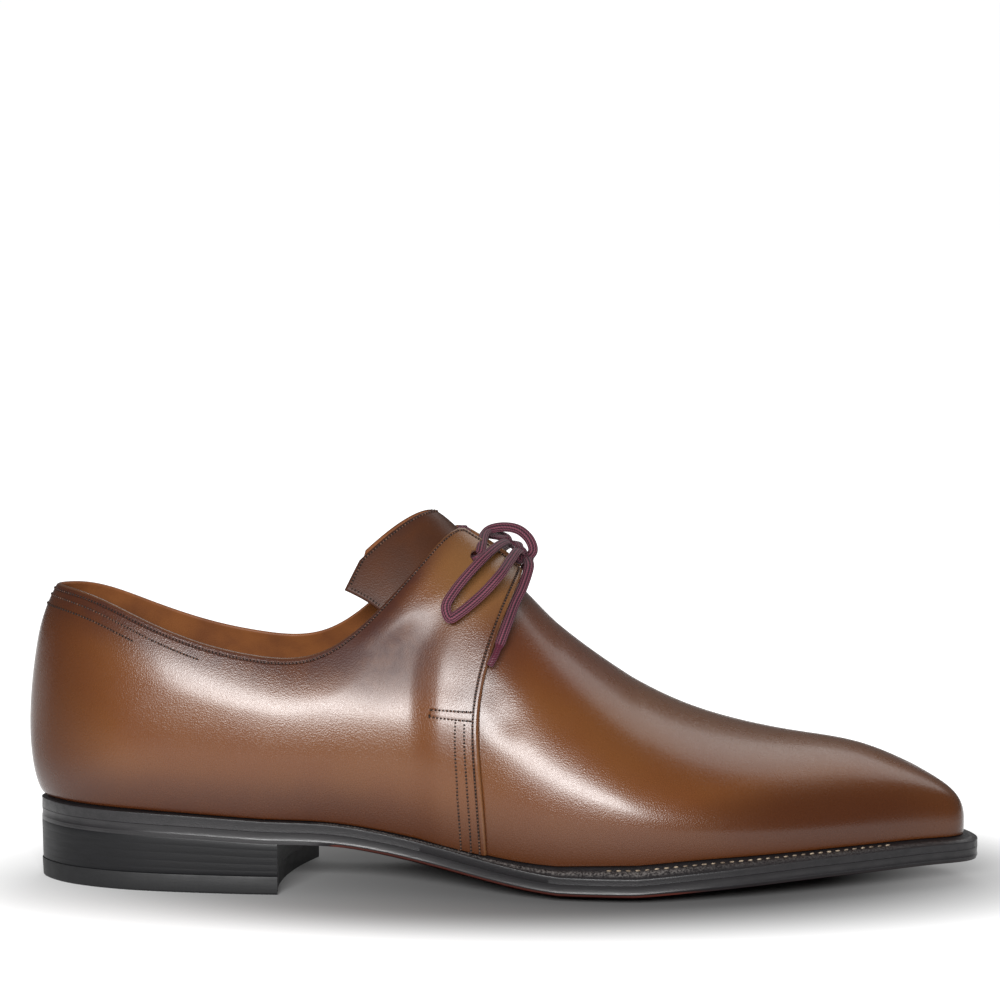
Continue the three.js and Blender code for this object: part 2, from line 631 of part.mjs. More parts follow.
function lacePath() {
  const outer = laceSide(eyelets[0], false);
  const inner = laceSide(eyelets[1], true);
  const middle = {
    point: outer[0].point.clone().lerp(inner[0].point, 0.5),
    across: outer[0].across.clone().lerp(inner[0].across, 0.5),
  };
  const x = middle.point.x;
  middle.point.z = ridgeZ(x) + laceUnder * Math.SQRT2;
  return [...outer.reverse(), middle, ...inner];
}

function ribbon(path) {
  const last = path.length - 1;
  return block([last, 1, 1], (u, v, w) => {
    const i = Math.round(u * last);
    const along = path[Math.min(i + 1, last)].point.clone().sub(path[Math.max(i - 1, 0)].point).normalize();
    const across = path[i].across.clone().addScaledVector(along, -along.dot(path[i].across)).normalize();
    const face = along.clone().cross(across);
    const point = path[i].point.clone().addScaledVector(across, (v - 0.5) * laceWidth);
    return point.addScaledVector(face, (w - 0.5) * laceThickness);
  });
}

function eyeletCutter(frame) {
  const cutter = new THREE.CylinderGeometry(eyeletBore / 2, eyeletBore / 2, boreDepth, 16);
  const up = new THREE.Vector3(0, 1, 0);
  cutter.applyQuaternion(new THREE.Quaternion().setFromUnitVectors(up, frame.normal));
  const middle = skin(frame.place, frame.height, (frame.faces.inside + frame.faces.outside) / 2);
  cutter.translate(middle.x, middle.y, middle.z);
  return toSolid(cutter);
}

// Knot, loops and ends: round cords that hang from the knot over both sides

const cordWidth = 2.4;
const cordSides = 8;
const knotSize = { x: 8, y: 7.6, z: 9.2 };
const loopReach = 43;          // from the knot to a loop's far turn
const endReach = 50;           // from the knot to the tip of an end

// Points from the knot's middle as shares of the reach; out: away from the middle of the shoe
const loopLine = [
  { x: -0.037, out: 0.093, z: 0.037 },
  { x: -0.075, out: 0.190, z: 0.078 },
  { x: -0.235, out: 0.560, z: 0.020 },
  { x: -0.463, out: 0.720, z: -0.219 },
  { x: -0.530, out: 0.767, z: -0.337 },
  { x: -0.500, out: 0.790, z: -0.421 },
  { x: -0.440, out: 0.795, z: -0.388 },
  { x: -0.267, out: 0.737, z: -0.253 },
  { x: -0.128, out: 0.670, z: -0.112 },
  { x: -0.047, out: 0.440, z: -0.030 },
  { x: 0.014, out: 0.190, z: 0.014 },
  { x: 0.030, out: 0.098, z: -0.014 },
];
const endLine = [
  { x: 0.073, out: 0.042, z: -0.061 },
  { x: 0.086, out: 0.170, z: -0.094 },
  { x: 0.044, out: 0.310, z: -0.210 },
  { x: -0.008, out: 0.430, z: -0.304 },
  { x: -0.060, out: 0.595, z: -0.418 },
  { x: -0.138, out: 0.722, z: -0.600 },
  { x: -0.174, out: 0.744, z: -0.662 },
];

function cord(line, reach, side, steps) {
  const points = line.map(({ x, out, z }) => {
    return knotMiddle().add(new THREE.Vector3(x, -side * out, z).multiplyScalar(reach));
  });
  const extrudePath = new THREE.CatmullRomCurve3(points);
  const corners = Array.from({ length: cordSides }, (_, i) => {
    const turn = (2 * Math.PI * i) / cordSides;
    return new THREE.Vector2(Math.cos(turn), Math.sin(turn)).multiplyScalar(cordWidth / 2);
  });
  const section = new THREE.Shape(corners);
  return new THREE.ExtrudeGeometry(section, { steps, extrudePath, bevelEnabled: false });
}

function knot() {
  const ball = new THREE.SphereGeometry(0.5, 12, 8);
  ball.scale(knotSize.x, knotSize.y, knotSize.z);
  const middle = knotMiddle();
  return ball.translate(middle.x, middle.y, middle.z);
}

const leather = { color: 0x82502d, roughness: 0.38, metalness: 0 };
const tongueLeather = { color: 0x5a3a28, roughness: 0.42, metalness: 0 };
const innerLeather = { color: 0xb5733f, roughness: 0.6, metalness: 0 };
const edgeBlack = { color: 0x1d1c20, roughness: 0.45, metalness: 0 };
const soleLeather = { color: 0x2a1d1b, roughness: 0.5, metalness: 0 };
const rubber = { color: 0x161619, roughness: 0.7, metalness: 0 };
const laceCotton = { color: 0x4a2c36, roughness: 0.8, metalness: 0 };

const shoe = new THREE.Group();

function addPiece(name, geometry, finish) {
  const mesh = new THREE.Mesh(geometry, new THREE.MeshStandardMaterial(finish));
  mesh.name = name;
  shoe.add(mesh);
}

const vamp = toSolid(block(vampSteps, vampShape, { lastEnd: false }));
const quarters = toSolid(block(quarterSteps, quarterShape, { flip: true }));
const bores = eyelets.map(eyeletCutter);
const upper = bores.reduce((body, bore) => body.subtract(bore), vamp.add(quarters));
addPiece('upper', toGeometry(upper), leather);
addPiece('tongue', block([10, 14, 1], tongueShape, { flip: true }), tongueLeather);
addPiece('insole', block([38, 6, 3], insoleShape, { ends: false }), innerLeather);
addPiece('welt', block([76, 2, 1], weltShape, { ends: false }), edgeBlack);
addPiece('outsole', block([38, 8, 1], outsoleShape, { ends: false }), soleLeather);
const liftBottom = () => topPieceThickness + clearance;
const liftTop = (x, across) => soleBottom(x, across) - heelSeatGap;
addPiece('heel_stack', block([14, 6, 1], heelShape(liftBottom, liftTop)), edgeBlack);
addPiece('heel_top_piece', block([14, 6, 1], heelShape(() => 0, () => topPieceThickness)), rubber);
addPiece('lace_bar', ribbon(lacePath()), laceCotton);
addPiece('lace_knot', knot(), laceCotton);
addPiece('lace_loop_outer', cord(loopLine, loopReach, 1, 18), laceCotton);
addPiece('lace_loop_inner', cord(loopLine, loopReach, -1, 18), laceCotton);
addPiece('lace_end_outer', cord(endLine, endReach, 1, 12), laceCotton);
addPiece('lace_end_inner', cord(endLine, endReach, -1, 12), laceCotton);

export default shoe;
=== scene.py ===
# %% [markdown]
# # A one-eyelet derby, dressed in Blender
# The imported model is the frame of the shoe: its solids have the true shape, in metres, with +X
# from the heel to the toe, +Y to the inner side of the foot and +Z up. This lesson rebuilds
# what shows of it as fine meshes on the same last, and gives each leather its finish.

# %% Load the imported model
import json
import math

import bmesh
import bpy
import numpy as np
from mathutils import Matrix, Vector

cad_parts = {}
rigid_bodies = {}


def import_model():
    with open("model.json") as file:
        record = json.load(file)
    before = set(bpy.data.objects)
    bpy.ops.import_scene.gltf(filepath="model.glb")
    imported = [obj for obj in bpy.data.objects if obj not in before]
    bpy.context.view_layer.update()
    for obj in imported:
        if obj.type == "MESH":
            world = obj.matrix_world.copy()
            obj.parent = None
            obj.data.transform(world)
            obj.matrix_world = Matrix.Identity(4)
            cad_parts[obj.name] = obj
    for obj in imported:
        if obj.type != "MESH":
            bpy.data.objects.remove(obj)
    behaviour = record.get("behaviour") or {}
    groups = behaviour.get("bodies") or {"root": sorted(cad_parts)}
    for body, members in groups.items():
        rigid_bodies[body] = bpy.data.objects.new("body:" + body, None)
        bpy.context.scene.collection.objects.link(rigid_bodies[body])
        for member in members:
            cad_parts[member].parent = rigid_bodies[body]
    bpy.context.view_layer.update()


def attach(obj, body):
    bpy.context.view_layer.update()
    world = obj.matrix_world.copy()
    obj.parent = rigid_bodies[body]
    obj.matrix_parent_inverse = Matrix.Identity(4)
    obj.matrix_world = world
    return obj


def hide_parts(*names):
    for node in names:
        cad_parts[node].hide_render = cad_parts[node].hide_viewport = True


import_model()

mm = 0.001

# %% [markdown]
# ## The camera
# The shoe is seen from its outer side, a little from above. The view is long, so that the heel
# and the toe are drawn at the same size. A lens in pixels is turned into Blender's millimetres
# by the width of the sensor.

# %% Camera
view_distance = 1600 * mm
view_target = Vector((-1.5, 0, 125.7)) * mm
view_elevation = math.radians(7.4)
focal_pixels = 4856
picture_pixels = 1000
sensor_width = 36

camera_data = bpy.data.cameras.new("camera")
camera_data.sensor_width = sensor_width
camera_data.lens = focal_pixels / picture_pixels * sensor_width
camera = bpy.data.objects.new("camera", camera_data)
bpy.context.scene.collection.objects.link(camera)
bpy.context.scene.camera = camera
away = Vector((0, -math.cos(view_elevation), math.sin(view_elevation)))
camera.location = view_target + away * view_distance
camera.rotation_euler = (math.pi / 2 - view_elevation, 0, 0)
print("lens:", round(camera_data.lens, 1), "mm")

# %% [markdown]
# ## The sizes of the shoe
# A shoemaker works from the last. Its sizes are named once, and two tables give its form as
# shares of them: `stations` along the shoe, from the heel to the toe, and `ribs`, which run
# from the edge of the sole up to the top line of the last.

# %% Driving sizes
sole_length = 314 * mm
ball_width = 104.4 * mm
heel_width = 63 * mm
heel_height = 19 * mm
toe_spring = 7 * mm
sole_crown = 3 * mm
outsole_thickness = 3.9 * mm
welt_thickness = 2.3 * mm
welt_slope = 3.3 * mm
welt_width = 5 * mm
top_piece_thickness = 6 * mm
insole_thickness = 3 * mm
instep_rise = 93 * mm
back_height = 71.7 * mm
bulge = 5.2 * mm
wall = 1.6 * mm
seam_step = 1.5 * mm
facing_lift = 4.8 * mm
facing_gap = 13 * mm
seam_overlap = 10 * mm
tongue_thickness = 1.8 * mm
eyelet_bore = 4.4 * mm
lace_width = 3.3 * mm
lace_thickness = 1.3 * mm
clearance = 0.3 * mm
plate_gap = 0.45 * mm

station_columns = ("heel", "spring", "crown", "welt", "slope", "ridge", "side", "collar")
station_rows = [
    (1.000, 0, 0, 1.35, 0.2, 1.119, 0.020, 1.000),
    (0.985, 0, 0, 1.35, 0.2, 1.121, 0.018, 0.969),
    (0.968, 0, 0, 1.35, 0.15, 1.126, 0.016, 0.870),
    (0.937, 0, 0, 1.30, 0.1, 1.131, 0.014, 0.784),
    (0.889, 0, 0, 1.25, 0.1, 1.141, 0.011, 0.744),
    (0.826, 0, 0.2, 1.15, 0.1, 1.10, 0.008, 0.782),
    (0.626, 0, 0.5, 1.05, 0.15, 1.155, 0.006, 1.034),
    (0.368, 0, 0.8, 1.00, 0.25, 1.14, 0.008, 1.367),
    (0.126, 0, 1, 0.90, 0.45, 0.957, 0.015, 1.684),
    (-0.01, 0, 1, 0.80, 0.8, 0.755, 0.025, 2.02),
    (-0.01, 0, 1, 0.75, 1, 0.593, 0.032, 2.3),
    (0, 0.19, 1, 0.75, 1, 0.466, 0.036, 2.6),
    (0, 0.40, 0.95, 0.80, 0.8, 0.389, 0.038, 2.9),
    (0, 0.59, 0.85, 0.85, 0.6, 0.343, 0.036, 3.2),
    (0, 0.74, 0.70, 0.90, 0.5, 0.303, 0.033, 3.5),
    (0, 0.90, 0.45, 0.90, 0.4, 0.217, 0.028, 3.8),
    (0, 1.00, 0.20, 0.90, 0.3, 0.10, 0.020, 4.1),
]

rib_columns = ("out_x", "out_y", "in_x", "in_y", "fore", "top_x", "inset",
               "out_swell", "in_swell", "belly", "rise", "reach")
rib_rows = [
    (-0.490, 0.040, -0.490, 0.040, 0, -0.375, 0.40, 1.00, 1.00, 0.22, 0.30, 0.80),
    (-0.479, -0.103, -0.479, 0.183, 0, -0.374, 0.45, 0.85, 0.85, 0.21, 0.30, 0.80),
    (-0.452, -0.246, -0.452, 0.325, 0, -0.370, 0.55, 0.60, 0.60, 0.19, 0.30, 0.80),
    (-0.395, -0.389, -0.395, 0.444, 0, -0.352, 0.60, 0.45, 0.45, 0.18, 0.30, 0.80),
    (-0.315, -0.476, -0.306, 0.500, 0, -0.296, 0.60, 0.35, 0.45, 0.18, 0.30, 0.80),
    (-0.229, -0.507, -0.213, 0.472, 0.05, -0.222, 0.60, 0.30, 0.60, 0.18, 0.40, 0.50),
    (-0.143, -0.466, -0.131, 0.366, 0.20, -0.146, 0.62, 0.30, 0.80, 0.18, 0.55, 0.30),
    (-0.070, -0.428, -0.054, 0.321, 0.58, -0.076, 0.70, 0.30, 0.80, 0.18, 0.50, 0.36),
    (0.000, -0.445, 0.016, 0.347, 0.90, -0.010, 0.82, 0.30, 0.60, 0.18, 0.45, 0.46),
    (0.070, -0.482, 0.083, 0.412, 1, 0.054, 0.95, 0.30, 0.40, 0.19, 0.42, 0.55),
    (0.140, -0.501, 0.147, 0.471, 1, 0.122, 1.00, 0.28, 0.30, 0.20, 0.44, 0.54),
    (0.210, -0.479, 0.210, 0.497, 1, 0.190, 1.00, 0.24, 0.25, 0.20, 0.44, 0.55),
    (0.277, -0.426, 0.274, 0.481, 1, 0.255, 0.98, 0.20, 0.20, 0.20, 0.44, 0.57),
    (0.341, -0.352, 0.330, 0.423, 1, 0.312, 0.94, 0.16, 0.16, 0.20, 0.45, 0.60),
    (0.395, -0.281, 0.377, 0.347, 1, 0.354, 0.95, 0.12, 0.12, 0.20, 0.47, 0.64),
    (0.439, -0.216, 0.420, 0.263, 1, 0.384, 0.97, 0.10, 0.10, 0.20, 0.49, 0.68),
    (0.473, -0.168, 0.451, 0.196, 1, 0.403, 1.00, 0.08, 0.08, 0.20, 0.50, 0.70),
    (0.490, -0.132, 0.473, 0.144, 1, 0.412, 1.02, 0.07, 0.07, 0.20, 0.50, 0.70),
    (0.4985, -0.077, 0.484, 0.100, 1, 0.417, 1.02, 0.06, 0.06, 0.20, 0.50, 0.70),
    (0.4955, 0.012, 0.4955, 0.012, 1, 0.419, 1.02, 0.06, 0.06, 0.20, 0.50, 0.70),
]
seam_shares = [-0.0178, -0.0229, -0.0255, -0.0095, 0.0130]

stations = dict(zip(station_columns, np.array(station_rows, float).T))
ribs = dict(zip(rib_columns, np.array(rib_rows, float).T))
toe_rib = len(rib_rows) - 1
rib_count = 2 * toe_rib
print("stations:", len(station_rows), "ribs round the shoe:", rib_count)

# %% [markdown]
# ## The last as a function
# Each column of the tables becomes a smooth curve. The curve is a cubic B-spline whose weights
# are found by a few rounds of averaging, so that it passes through the column's values. With
# NumPy a whole grid of points is worked out at once.

# %% Smooth curves through the tables
def spline_weights(values, closed):
    weights = np.array(values, float)
    last = len(weights) - 1
    for _ in range(40):
        for i in range(0 if closed else 1, last + 1 if closed else last):
            weights[i] = (6 * values[i] - weights[i - 1] - weights[(i + 1) % (last + 1)]) / 4
    return weights


def smooth_curve(values, closed=False):
    weights = spline_weights(values, closed)
    count = len(weights)
    before, after = 2 * weights[0] - weights[1], 2 * weights[-1] - weights[-2]
    padded = np.concatenate([[before], weights, [after]])

    def curve(at):
        at = np.asarray(at, float)
        i = np.floor(at).astype(int)
        if not closed:
            i = np.clip(i, 0, count - 2)
        t = at - i
        r = 1 - t
        shares = (r**3, 3 * t**3 - 6 * t**2 + 4, 3 * r**3 - 6 * r**2 + 4, t**3)
        total = 0
        for k, share in enumerate(shares):
            total = total + share * (weights[(i + k - 1) % count] if closed else padded[i + k])
        return total / 6

    return curve


def along_shoe(column):
    curve = smooth_curve(stations[column])
    return lambda x: curve((x / sole_length + 0.5) * (len(station_rows) - 1))


def round_shoe(outer, inner):
    return smooth_curve(np.concatenate([outer, inner[toe_rib - 1:0:-1]]), closed=True)


def ease(t):
    t = np.clip(t, 0, 1)
    return t * t * (3 - 2 * t)


def lerp(a, b, t):
    return a + (b - a) * t


heel_share, spring_share, crown_share = (along_shoe(c) for c in ("heel", "spring", "crown"))
welt_share, slope_share, ridge_share = (along_shoe(c) for c in ("welt", "slope", "ridge"))
ridge_side, collar_share = along_shoe("side"), along_shoe("collar")

sole_width_at = lerp(heel_width, ball_width, ribs["fore"])
edge_x = round_shoe(ribs["out_x"] * sole_length, ribs["in_x"] * sole_length)
edge_y = round_shoe(ribs["out_y"] * sole_width_at, ribs["in_y"] * sole_width_at)
top_x = round_shoe(ribs["top_x"] * sole_length, ribs["top_x"] * sole_length)
inset_at = round_shoe(ribs["inset"] * welt_width, ribs["inset"] * welt_width)
swell_at = round_shoe(ribs["out_swell"] * bulge, ribs["in_swell"] * bulge)
belly_at, rise_at, reach_at = (round_shoe(ribs[c], ribs[c]) for c in ("belly", "rise", "reach"))
print("sole from", round(float(edge_x(0.0)), 4), "to", round(float(edge_x(toe_rib)), 4))

# %% Heights of the sole's layers and of the last
flat_share = 0.35


def sole_bottom(x, across):
    middle = np.maximum(0, heel_share(x) * heel_height + spring_share(x) * toe_spring)
    lift = np.maximum(0, (np.abs(across) - flat_share) / (1 - flat_share))
    return middle + np.maximum(0, crown_share(x)) * sole_crown * lift**2


def outsole_top(x, across):
    return sole_bottom(x, across) + outsole_thickness


def welt_edge_top(x):
    return outsole_top(x, 1) + plate_gap + welt_share(x) * welt_thickness


def welt_inner_top(x):
    return welt_edge_top(x) + slope_share(x) * welt_slope


def feather_z(x):
    return welt_inner_top(x) + clearance


def ridge_z(x):
    return feather_z(x) + ridge_share(x) * instep_rise


def collar_z(x):
    return feather_z(x) + collar_share(x) * back_height


# %% Points on the last
belly_height = 0.25
slope_reach = 0.5 * mm
nudge = 0.004


def joined(xy, z):
    return np.concatenate([xy, np.asarray(z)[..., None]], axis=-1)


def unit(vectors):
    return vectors / np.maximum(np.linalg.norm(vectors, axis=-1, keepdims=True), 1e-12)


def in_plan(place, inset):
    top_at = top_x(place)
    top = np.stack([top_at, ridge_side(top_at) * ball_width], axis=-1)
    edge = np.stack([edge_x(place), edge_y(place)], axis=-1)
    out = unit(edge - top)
    return edge - out * np.asarray(inset)[..., None], top, out


def ridge_slope(x):
    return (ridge_z(x + slope_reach) - ridge_z(x - slope_reach)) / (2 * slope_reach)


def last_point(place, height):
    place, height = np.broadcast_arrays(np.asarray(place, float), np.asarray(height, float))
    foot, top, out = in_plan(place, inset_at(place))
    low = feather_z(foot[..., 0])
    top_z = ridge_z(top[..., 0])
    swell = swell_at(place)[..., None]
    belly = low + belly_at(place) * (top_z - low)
    turn = math.pi / 2 * np.minimum(height / belly_height, 1)
    under = joined(foot + out * swell * np.sin(turn)[..., None], belly - (belly - low) * np.cos(turn))
    wide = foot + out * swell
    over = (wide - top) * reach_at(place)[..., None]
    lean = joined(over, ridge_slope(top[..., 0]) * over[..., 0])
    high = joined(top, top_z)
    upright = joined(wide, lerp(belly, top_z, rise_at(place)))
    t = ((height - belly_height) / (1 - belly_height))[..., None]
    r = 1 - t
    above = r**3 * joined(wide, belly) + 3 * r * r * t * upright + 3 * r * t * t * (high + lean) + t**3 * high
    return np.where((height < belly_height)[..., None], under, above)


def last_normal(place, height):
    place, height = np.broadcast_arrays(np.asarray(place, float), np.asarray(height, float))
    x = top_x(place)
    flat = unit(np.stack([-ridge_slope(x), np.zeros_like(x), np.ones_like(x)], axis=-1))
    along = last_point(place + nudge, height) - last_point(place - nudge, height)
    up = last_point(place, height + nudge) - last_point(place, np.maximum(0, height - nudge))
    normal = unit(np.cross(along, up))
    normal[..., 2] *= ease(height / belly_height)
    return np.where((height > 1 - nudge)[..., None], flat, unit(normal))


def skin(place, height, offset):
    return last_point(place, height) + last_normal(place, height) * np.asarray(offset)[..., None]


print("top of the instep:", np.round(last_point(8.0, 1.0), 4))

# %% [markdown]
# ## The lines of the pattern
# The quarters end at the side seam, at the collar and at the gap between the facings. Those
# lines are drawn in plan or from the side, so the place where each one crosses the last is
# found by halving an interval, once for each of a few hundred places, and is looked up later.

# %% Side seam, collar and facing gap
def mirrored(place, inner):
    return np.where(inner, rib_count - place, place)


def solve(test, low, high, shape):
    low, high = np.full(shape, low, float), np.full(shape, high, float)
    for _ in range(28):
        middle = (low + high) / 2
        over = test(middle) > 0
        high, low = np.where(over, middle, high), np.where(over, low, middle)
    return (low + high) / 2


seam_curve = smooth_curve(seam_shares)
heel_ribs = 4
corner_rounding = 0.13


def seam_x(x, z):
    return seam_curve(4 * (z - feather_z(x)) / instep_rise) * sole_length


def seam_place(height, inner, back):
    def ahead(place):
        point = last_point(mirrored(place, inner), height)
        return point[..., 0] - seam_x(point[..., 0], point[..., 2]) + back
    return solve(ahead, 5, 11, height.shape)


def find_top_height(place, inner):
    def above(height):
        point = last_point(mirrored(place, inner), height)
        return point[..., 2] - collar_z(point[..., 0])

    def near(height):
        point = last_point(mirrored(place, inner), height)
        return facing_gap / 2 - np.abs(point[..., 1] - ridge_side(point[..., 0]) * ball_width)
    collar = solve(above, belly_height, 1, place.shape)
    gap = np.where(place < heel_ribs, 1, solve(near, belly_height, 1, place.shape))
    blend = np.maximum(0, corner_rounding - np.abs(collar - gap)) / corner_rounding
    return np.minimum(collar, gap) - blend**2 * corner_rounding / 4


height_steps = np.linspace(0, 1, 301)
place_steps = np.linspace(0, 10, 501)
seam_table = [seam_place(height_steps, inner, 0) for inner in (False, True)]
top_table = [find_top_height(place_steps, inner) for inner in (False, True)]


def seam_at(height, inner):
    return np.interp(height, height_steps, seam_table[int(inner)])


def top_height(place, inner):
    return np.interp(place, place_steps, top_table[int(inner)])


print("seam at the foot and at the top:", np.round(seam_at(np.array([0, 1.0]), False), 2))

# %% [markdown]
# ## From grids to pieces
# Every surface here is a grid of points. `make_piece` joins such grids, welds the points that
# they share and writes marks, such as the distance from an edge, as attributes for the
# materials. It also measures the volume: a positive one shows that all faces point outwards.

# %% Pieces from grids of points
weld_distance = 0.004 * mm


def make_piece(name, sheets, finishes, sharp_angle=40):
    """sheets: dicts with points (n, m, 3), finish (index), flip and marks {name: (n, m)}."""
    vertices, faces, slots = [], [], []
    marks = {key: [] for sheet in sheets for key in sheet.get("marks", {})}
    count = 0
    for sheet in sheets:
        points = sheet["points"]
        n, m = points.shape[:2]
        index = count + np.arange(n * m).reshape(n, m)
        quads = np.stack([index[:-1, :-1], index[1:, :-1], index[1:, 1:], index[:-1, 1:]], -1)
        quads = quads.reshape(-1, 4)
        faces.append(quads[:, ::-1] if sheet.get("flip") else quads)
        slots.append(np.full(len(quads), sheet.get("finish", 0)))
        vertices.append(points.reshape(-1, 3))
        for key, values in marks.items():
            here = sheet.get("marks", {}).get(key, np.zeros((n, m)))
            values.append(np.broadcast_to(here, (n, m)).ravel())
        count += n * m
    mesh = bpy.data.meshes.new(name)
    mesh.from_pydata(np.concatenate(vertices).tolist(), [], np.concatenate(faces).tolist())
    for finish in finishes:
        mesh.materials.append(finish)
    mesh.polygons.foreach_set("material_index", np.concatenate(slots).astype(np.int32))
    for key, values in marks.items():
        mark = mesh.attributes.new(key, "FLOAT", "POINT")
        mark.data.foreach_set("value", np.concatenate(values).astype(np.float32))
    work = bmesh.new()
    work.from_mesh(mesh)
    bmesh.ops.remove_doubles(work, verts=work.verts, dist=weld_distance)
    volume = work.calc_volume(signed=True)
    open_edges = sum(1 for edge in work.edges if len(edge.link_faces) != 2)
    work.to_mesh(mesh)
    work.free()
    mesh.shade_smooth()
    mesh.set_sharp_from_angle(angle=math.radians(sharp_angle))
    piece = bpy.data.objects.new(name, mesh)
    bpy.context.scene.collection.objects.link(piece)
    print(name, "faces:", len(mesh.polygons), "cm3:", round(volume * 1e6, 2), "open edges:", open_edges)
    return piece


def run_lengths(points, axis, from_end=False):
    """Distance along the rows or columns of a grid, from its first or its last line."""
    steps = np.linalg.norm(np.diff(points, axis=axis), axis=-1)
    zero = np.zeros_like(np.take(steps, [0], axis=axis))
    total = np.concatenate([zero, np.cumsum(steps, axis=axis)], axis=axis)
    return np.take(total, [-1], axis=axis) - total if from_end else total


def rounding(distance, half):
    """Share of the full thickness at a distance from a rounded edge."""
    left = 1 - np.clip(distance / half, 0, 1)
    return np.sqrt(1 - left**2)


def finish_piece(piece, slot, *nodes):
    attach(piece, "root")
    if nodes:
        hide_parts(*nodes)


# %% [markdown]
# ## A small language for materials
# A material is a tree of nodes. To keep its sums readable, `Level` wraps one output of a node,
# and Python's operators add the Math nodes. `Finish` holds one material: `node` adds any node
# from its type, its settings and what its sockets take, and the other calls are short names
# for the nodes that leather needs most.

# %% Materials written as sums
def paint(red, green, blue):
    """A colour of 0 to 255 as the linear colour that shaders take."""
    shares = [c / 255 for c in (red, green, blue)]
    return tuple(c / 12.92 if c < 0.04 else ((c + 0.055) / 1.055) ** 2.4 for c in shares) + (1,)


class Level:
    """One output of a node, on which operators work."""

    def __init__(self, finish, socket):
        self.finish, self.socket = finish, socket

    def math(self, operation, *values):
        return self.finish.math(operation, *values)

    def __add__(self, other):
        return self.math("ADD", self, other)

    def __sub__(self, other):
        return self.math("SUBTRACT", self, other)

    def __rsub__(self, other):
        return self.math("SUBTRACT", other, self)

    def __mul__(self, other):
        return self.math("MULTIPLY", self, other)

    def __truediv__(self, other):
        return self.math("DIVIDE", self, other)

    __radd__ = __add__
    __rmul__ = __mul__


class Finish:
    """One material, with its Principled shader."""

    def __init__(self, name, **constants):
        self.material = bpy.data.materials.new(name)
        self.material.use_nodes = True
        self.tree = self.material.node_tree
        self.shader = self.tree.nodes["Principled BSDF"]
        for key, value in constants.items():
            self.shader.inputs[key.replace("_", " ")].default_value = value

    def node(self, kind, settings=None, sockets=None, output=0):
        made = self.tree.nodes.new(kind)
        for key, value in (settings or {}).items():
            setattr(made, key, value)
        for key, value in (sockets or {}).items():
            self.feed(made.inputs[key], value)
        return Level(self, made.outputs[output])

    def feed(self, socket, value):
        if isinstance(value, Level):
            self.tree.links.new(value.socket, socket)
        else:
            socket.default_value = value

    def place(self):
        return self.node("ShaderNodeTexCoord", output="Object")

    def axes(self):
        split = self.node("ShaderNodeSeparateXYZ", sockets={0: self.place()})
        return [Level(self, split.socket.node.outputs[i]) for i in range(3)]

    def mark(self, name):
        return self.node("ShaderNodeAttribute", {"attribute_name": name}, output="Fac")

    def math(self, operation, *values):
        return self.node("ShaderNodeMath", {"operation": operation}, dict(enumerate(values)))

    def noise(self, size, detail=2, roughness=0.5, at=None):
        sockets = {"Vector": at or self.place(), "Scale": 1 / size, "Detail": detail,
                   "Roughness": roughness}
        return self.node("ShaderNodeTexNoise", None, sockets)

    def cells(self, size, at=None):
        sockets = {"Vector": at or self.place(), "Scale": 1 / size}
        return self.node("ShaderNodeTexVoronoi", {"feature": "F1"}, sockets)

    def smooth(self, value, start, end):
        sockets = {"Value": value, "From Min": start, "From Max": end}
        return self.node("ShaderNodeMapRange", {"interpolation_type": "SMOOTHSTEP"}, sockets)

    def blob(self, axes, middle, reach):
        """1 in the middle of an ellipsoid, falling to 0 at its surface."""
        total = 0
        for axis, centre, radius in zip(axes, middle, reach):
            share = (axis - centre) / radius
            total = share * share + total
        return 1 - self.smooth(total, 0.0, 1.0)

    def mix(self, share, first, second):
        settings = {"data_type": "RGBA"}
        return self.node("ShaderNodeMix", settings, {0: share, 6: first, 7: second}, output=2)

    def bump(self, height, distance, strength=1.0, below=None):
        sockets = {"Height": height, "Distance": distance, "Strength": strength}
        if below is not None:
            sockets["Normal"] = below
        return self.node("ShaderNodeBump", None, sockets)

    def dress(self, **levels):
        for key, value in levels.items():
            self.feed(self.shader.inputs[key.replace("_", " ")], value)
        return self.material


# %% [markdown]
# ## Box calf with a hand-worked patina, painted shade and a painted highlight
# The upper is smooth calf. Its grain is a field of tiny cells, so fine that it shows only as
# sparkle in the highlights. The maker burnishes the leather with a darker, purplish wax at
# the collar, along the side seam, low on the heel and along the side of the toe. The colour
# is a mid brown with those shades laid over it, each in its own soft region of the shoe.
# Painted shade darkens it towards the foot, in the grooves of the stitch rows and on the vamp
# just under the step of the quarters. The rounded edges are paler, worn and with a painted
# highlight.

# %% Upper leather
calf_brown = paint(99, 58, 26)
calf_red = paint(87, 43, 20)
calf_olive = paint(116, 80, 46)
# purplish plum: burnish at the rim, collar, side seam and seat, and painted shade in the stitch grooves and below the
# step
plum_burnish_and_shade = paint(58, 30, 24)
# dark brown: burnish at the back and on the side of the toe, and painted shade towards the foot
dark_burnish_and_shade = paint(60, 27, 8)
# paler tan of the rounded edges: wear and a painted highlight
edge_tan_and_highlight = paint(150, 108, 72)
row_from_edge = 2.0 * mm
bar_low, bar_high = 58.4 * mm, 61.3 * mm
bar_ends = (2.4 * mm, 21.5 * mm)
bar_droop = (1.0 * mm, 0.4 * mm)
pebble_size = 0.5 * mm


def leather_grain(finish, depth, below=None):
    pebbles = finish.cells(pebble_size) * 0.8 + finish.noise(0.7 * mm, 4, 0.7) * 0.8
    return finish.bump(pebbles, depth, 1.0, below)


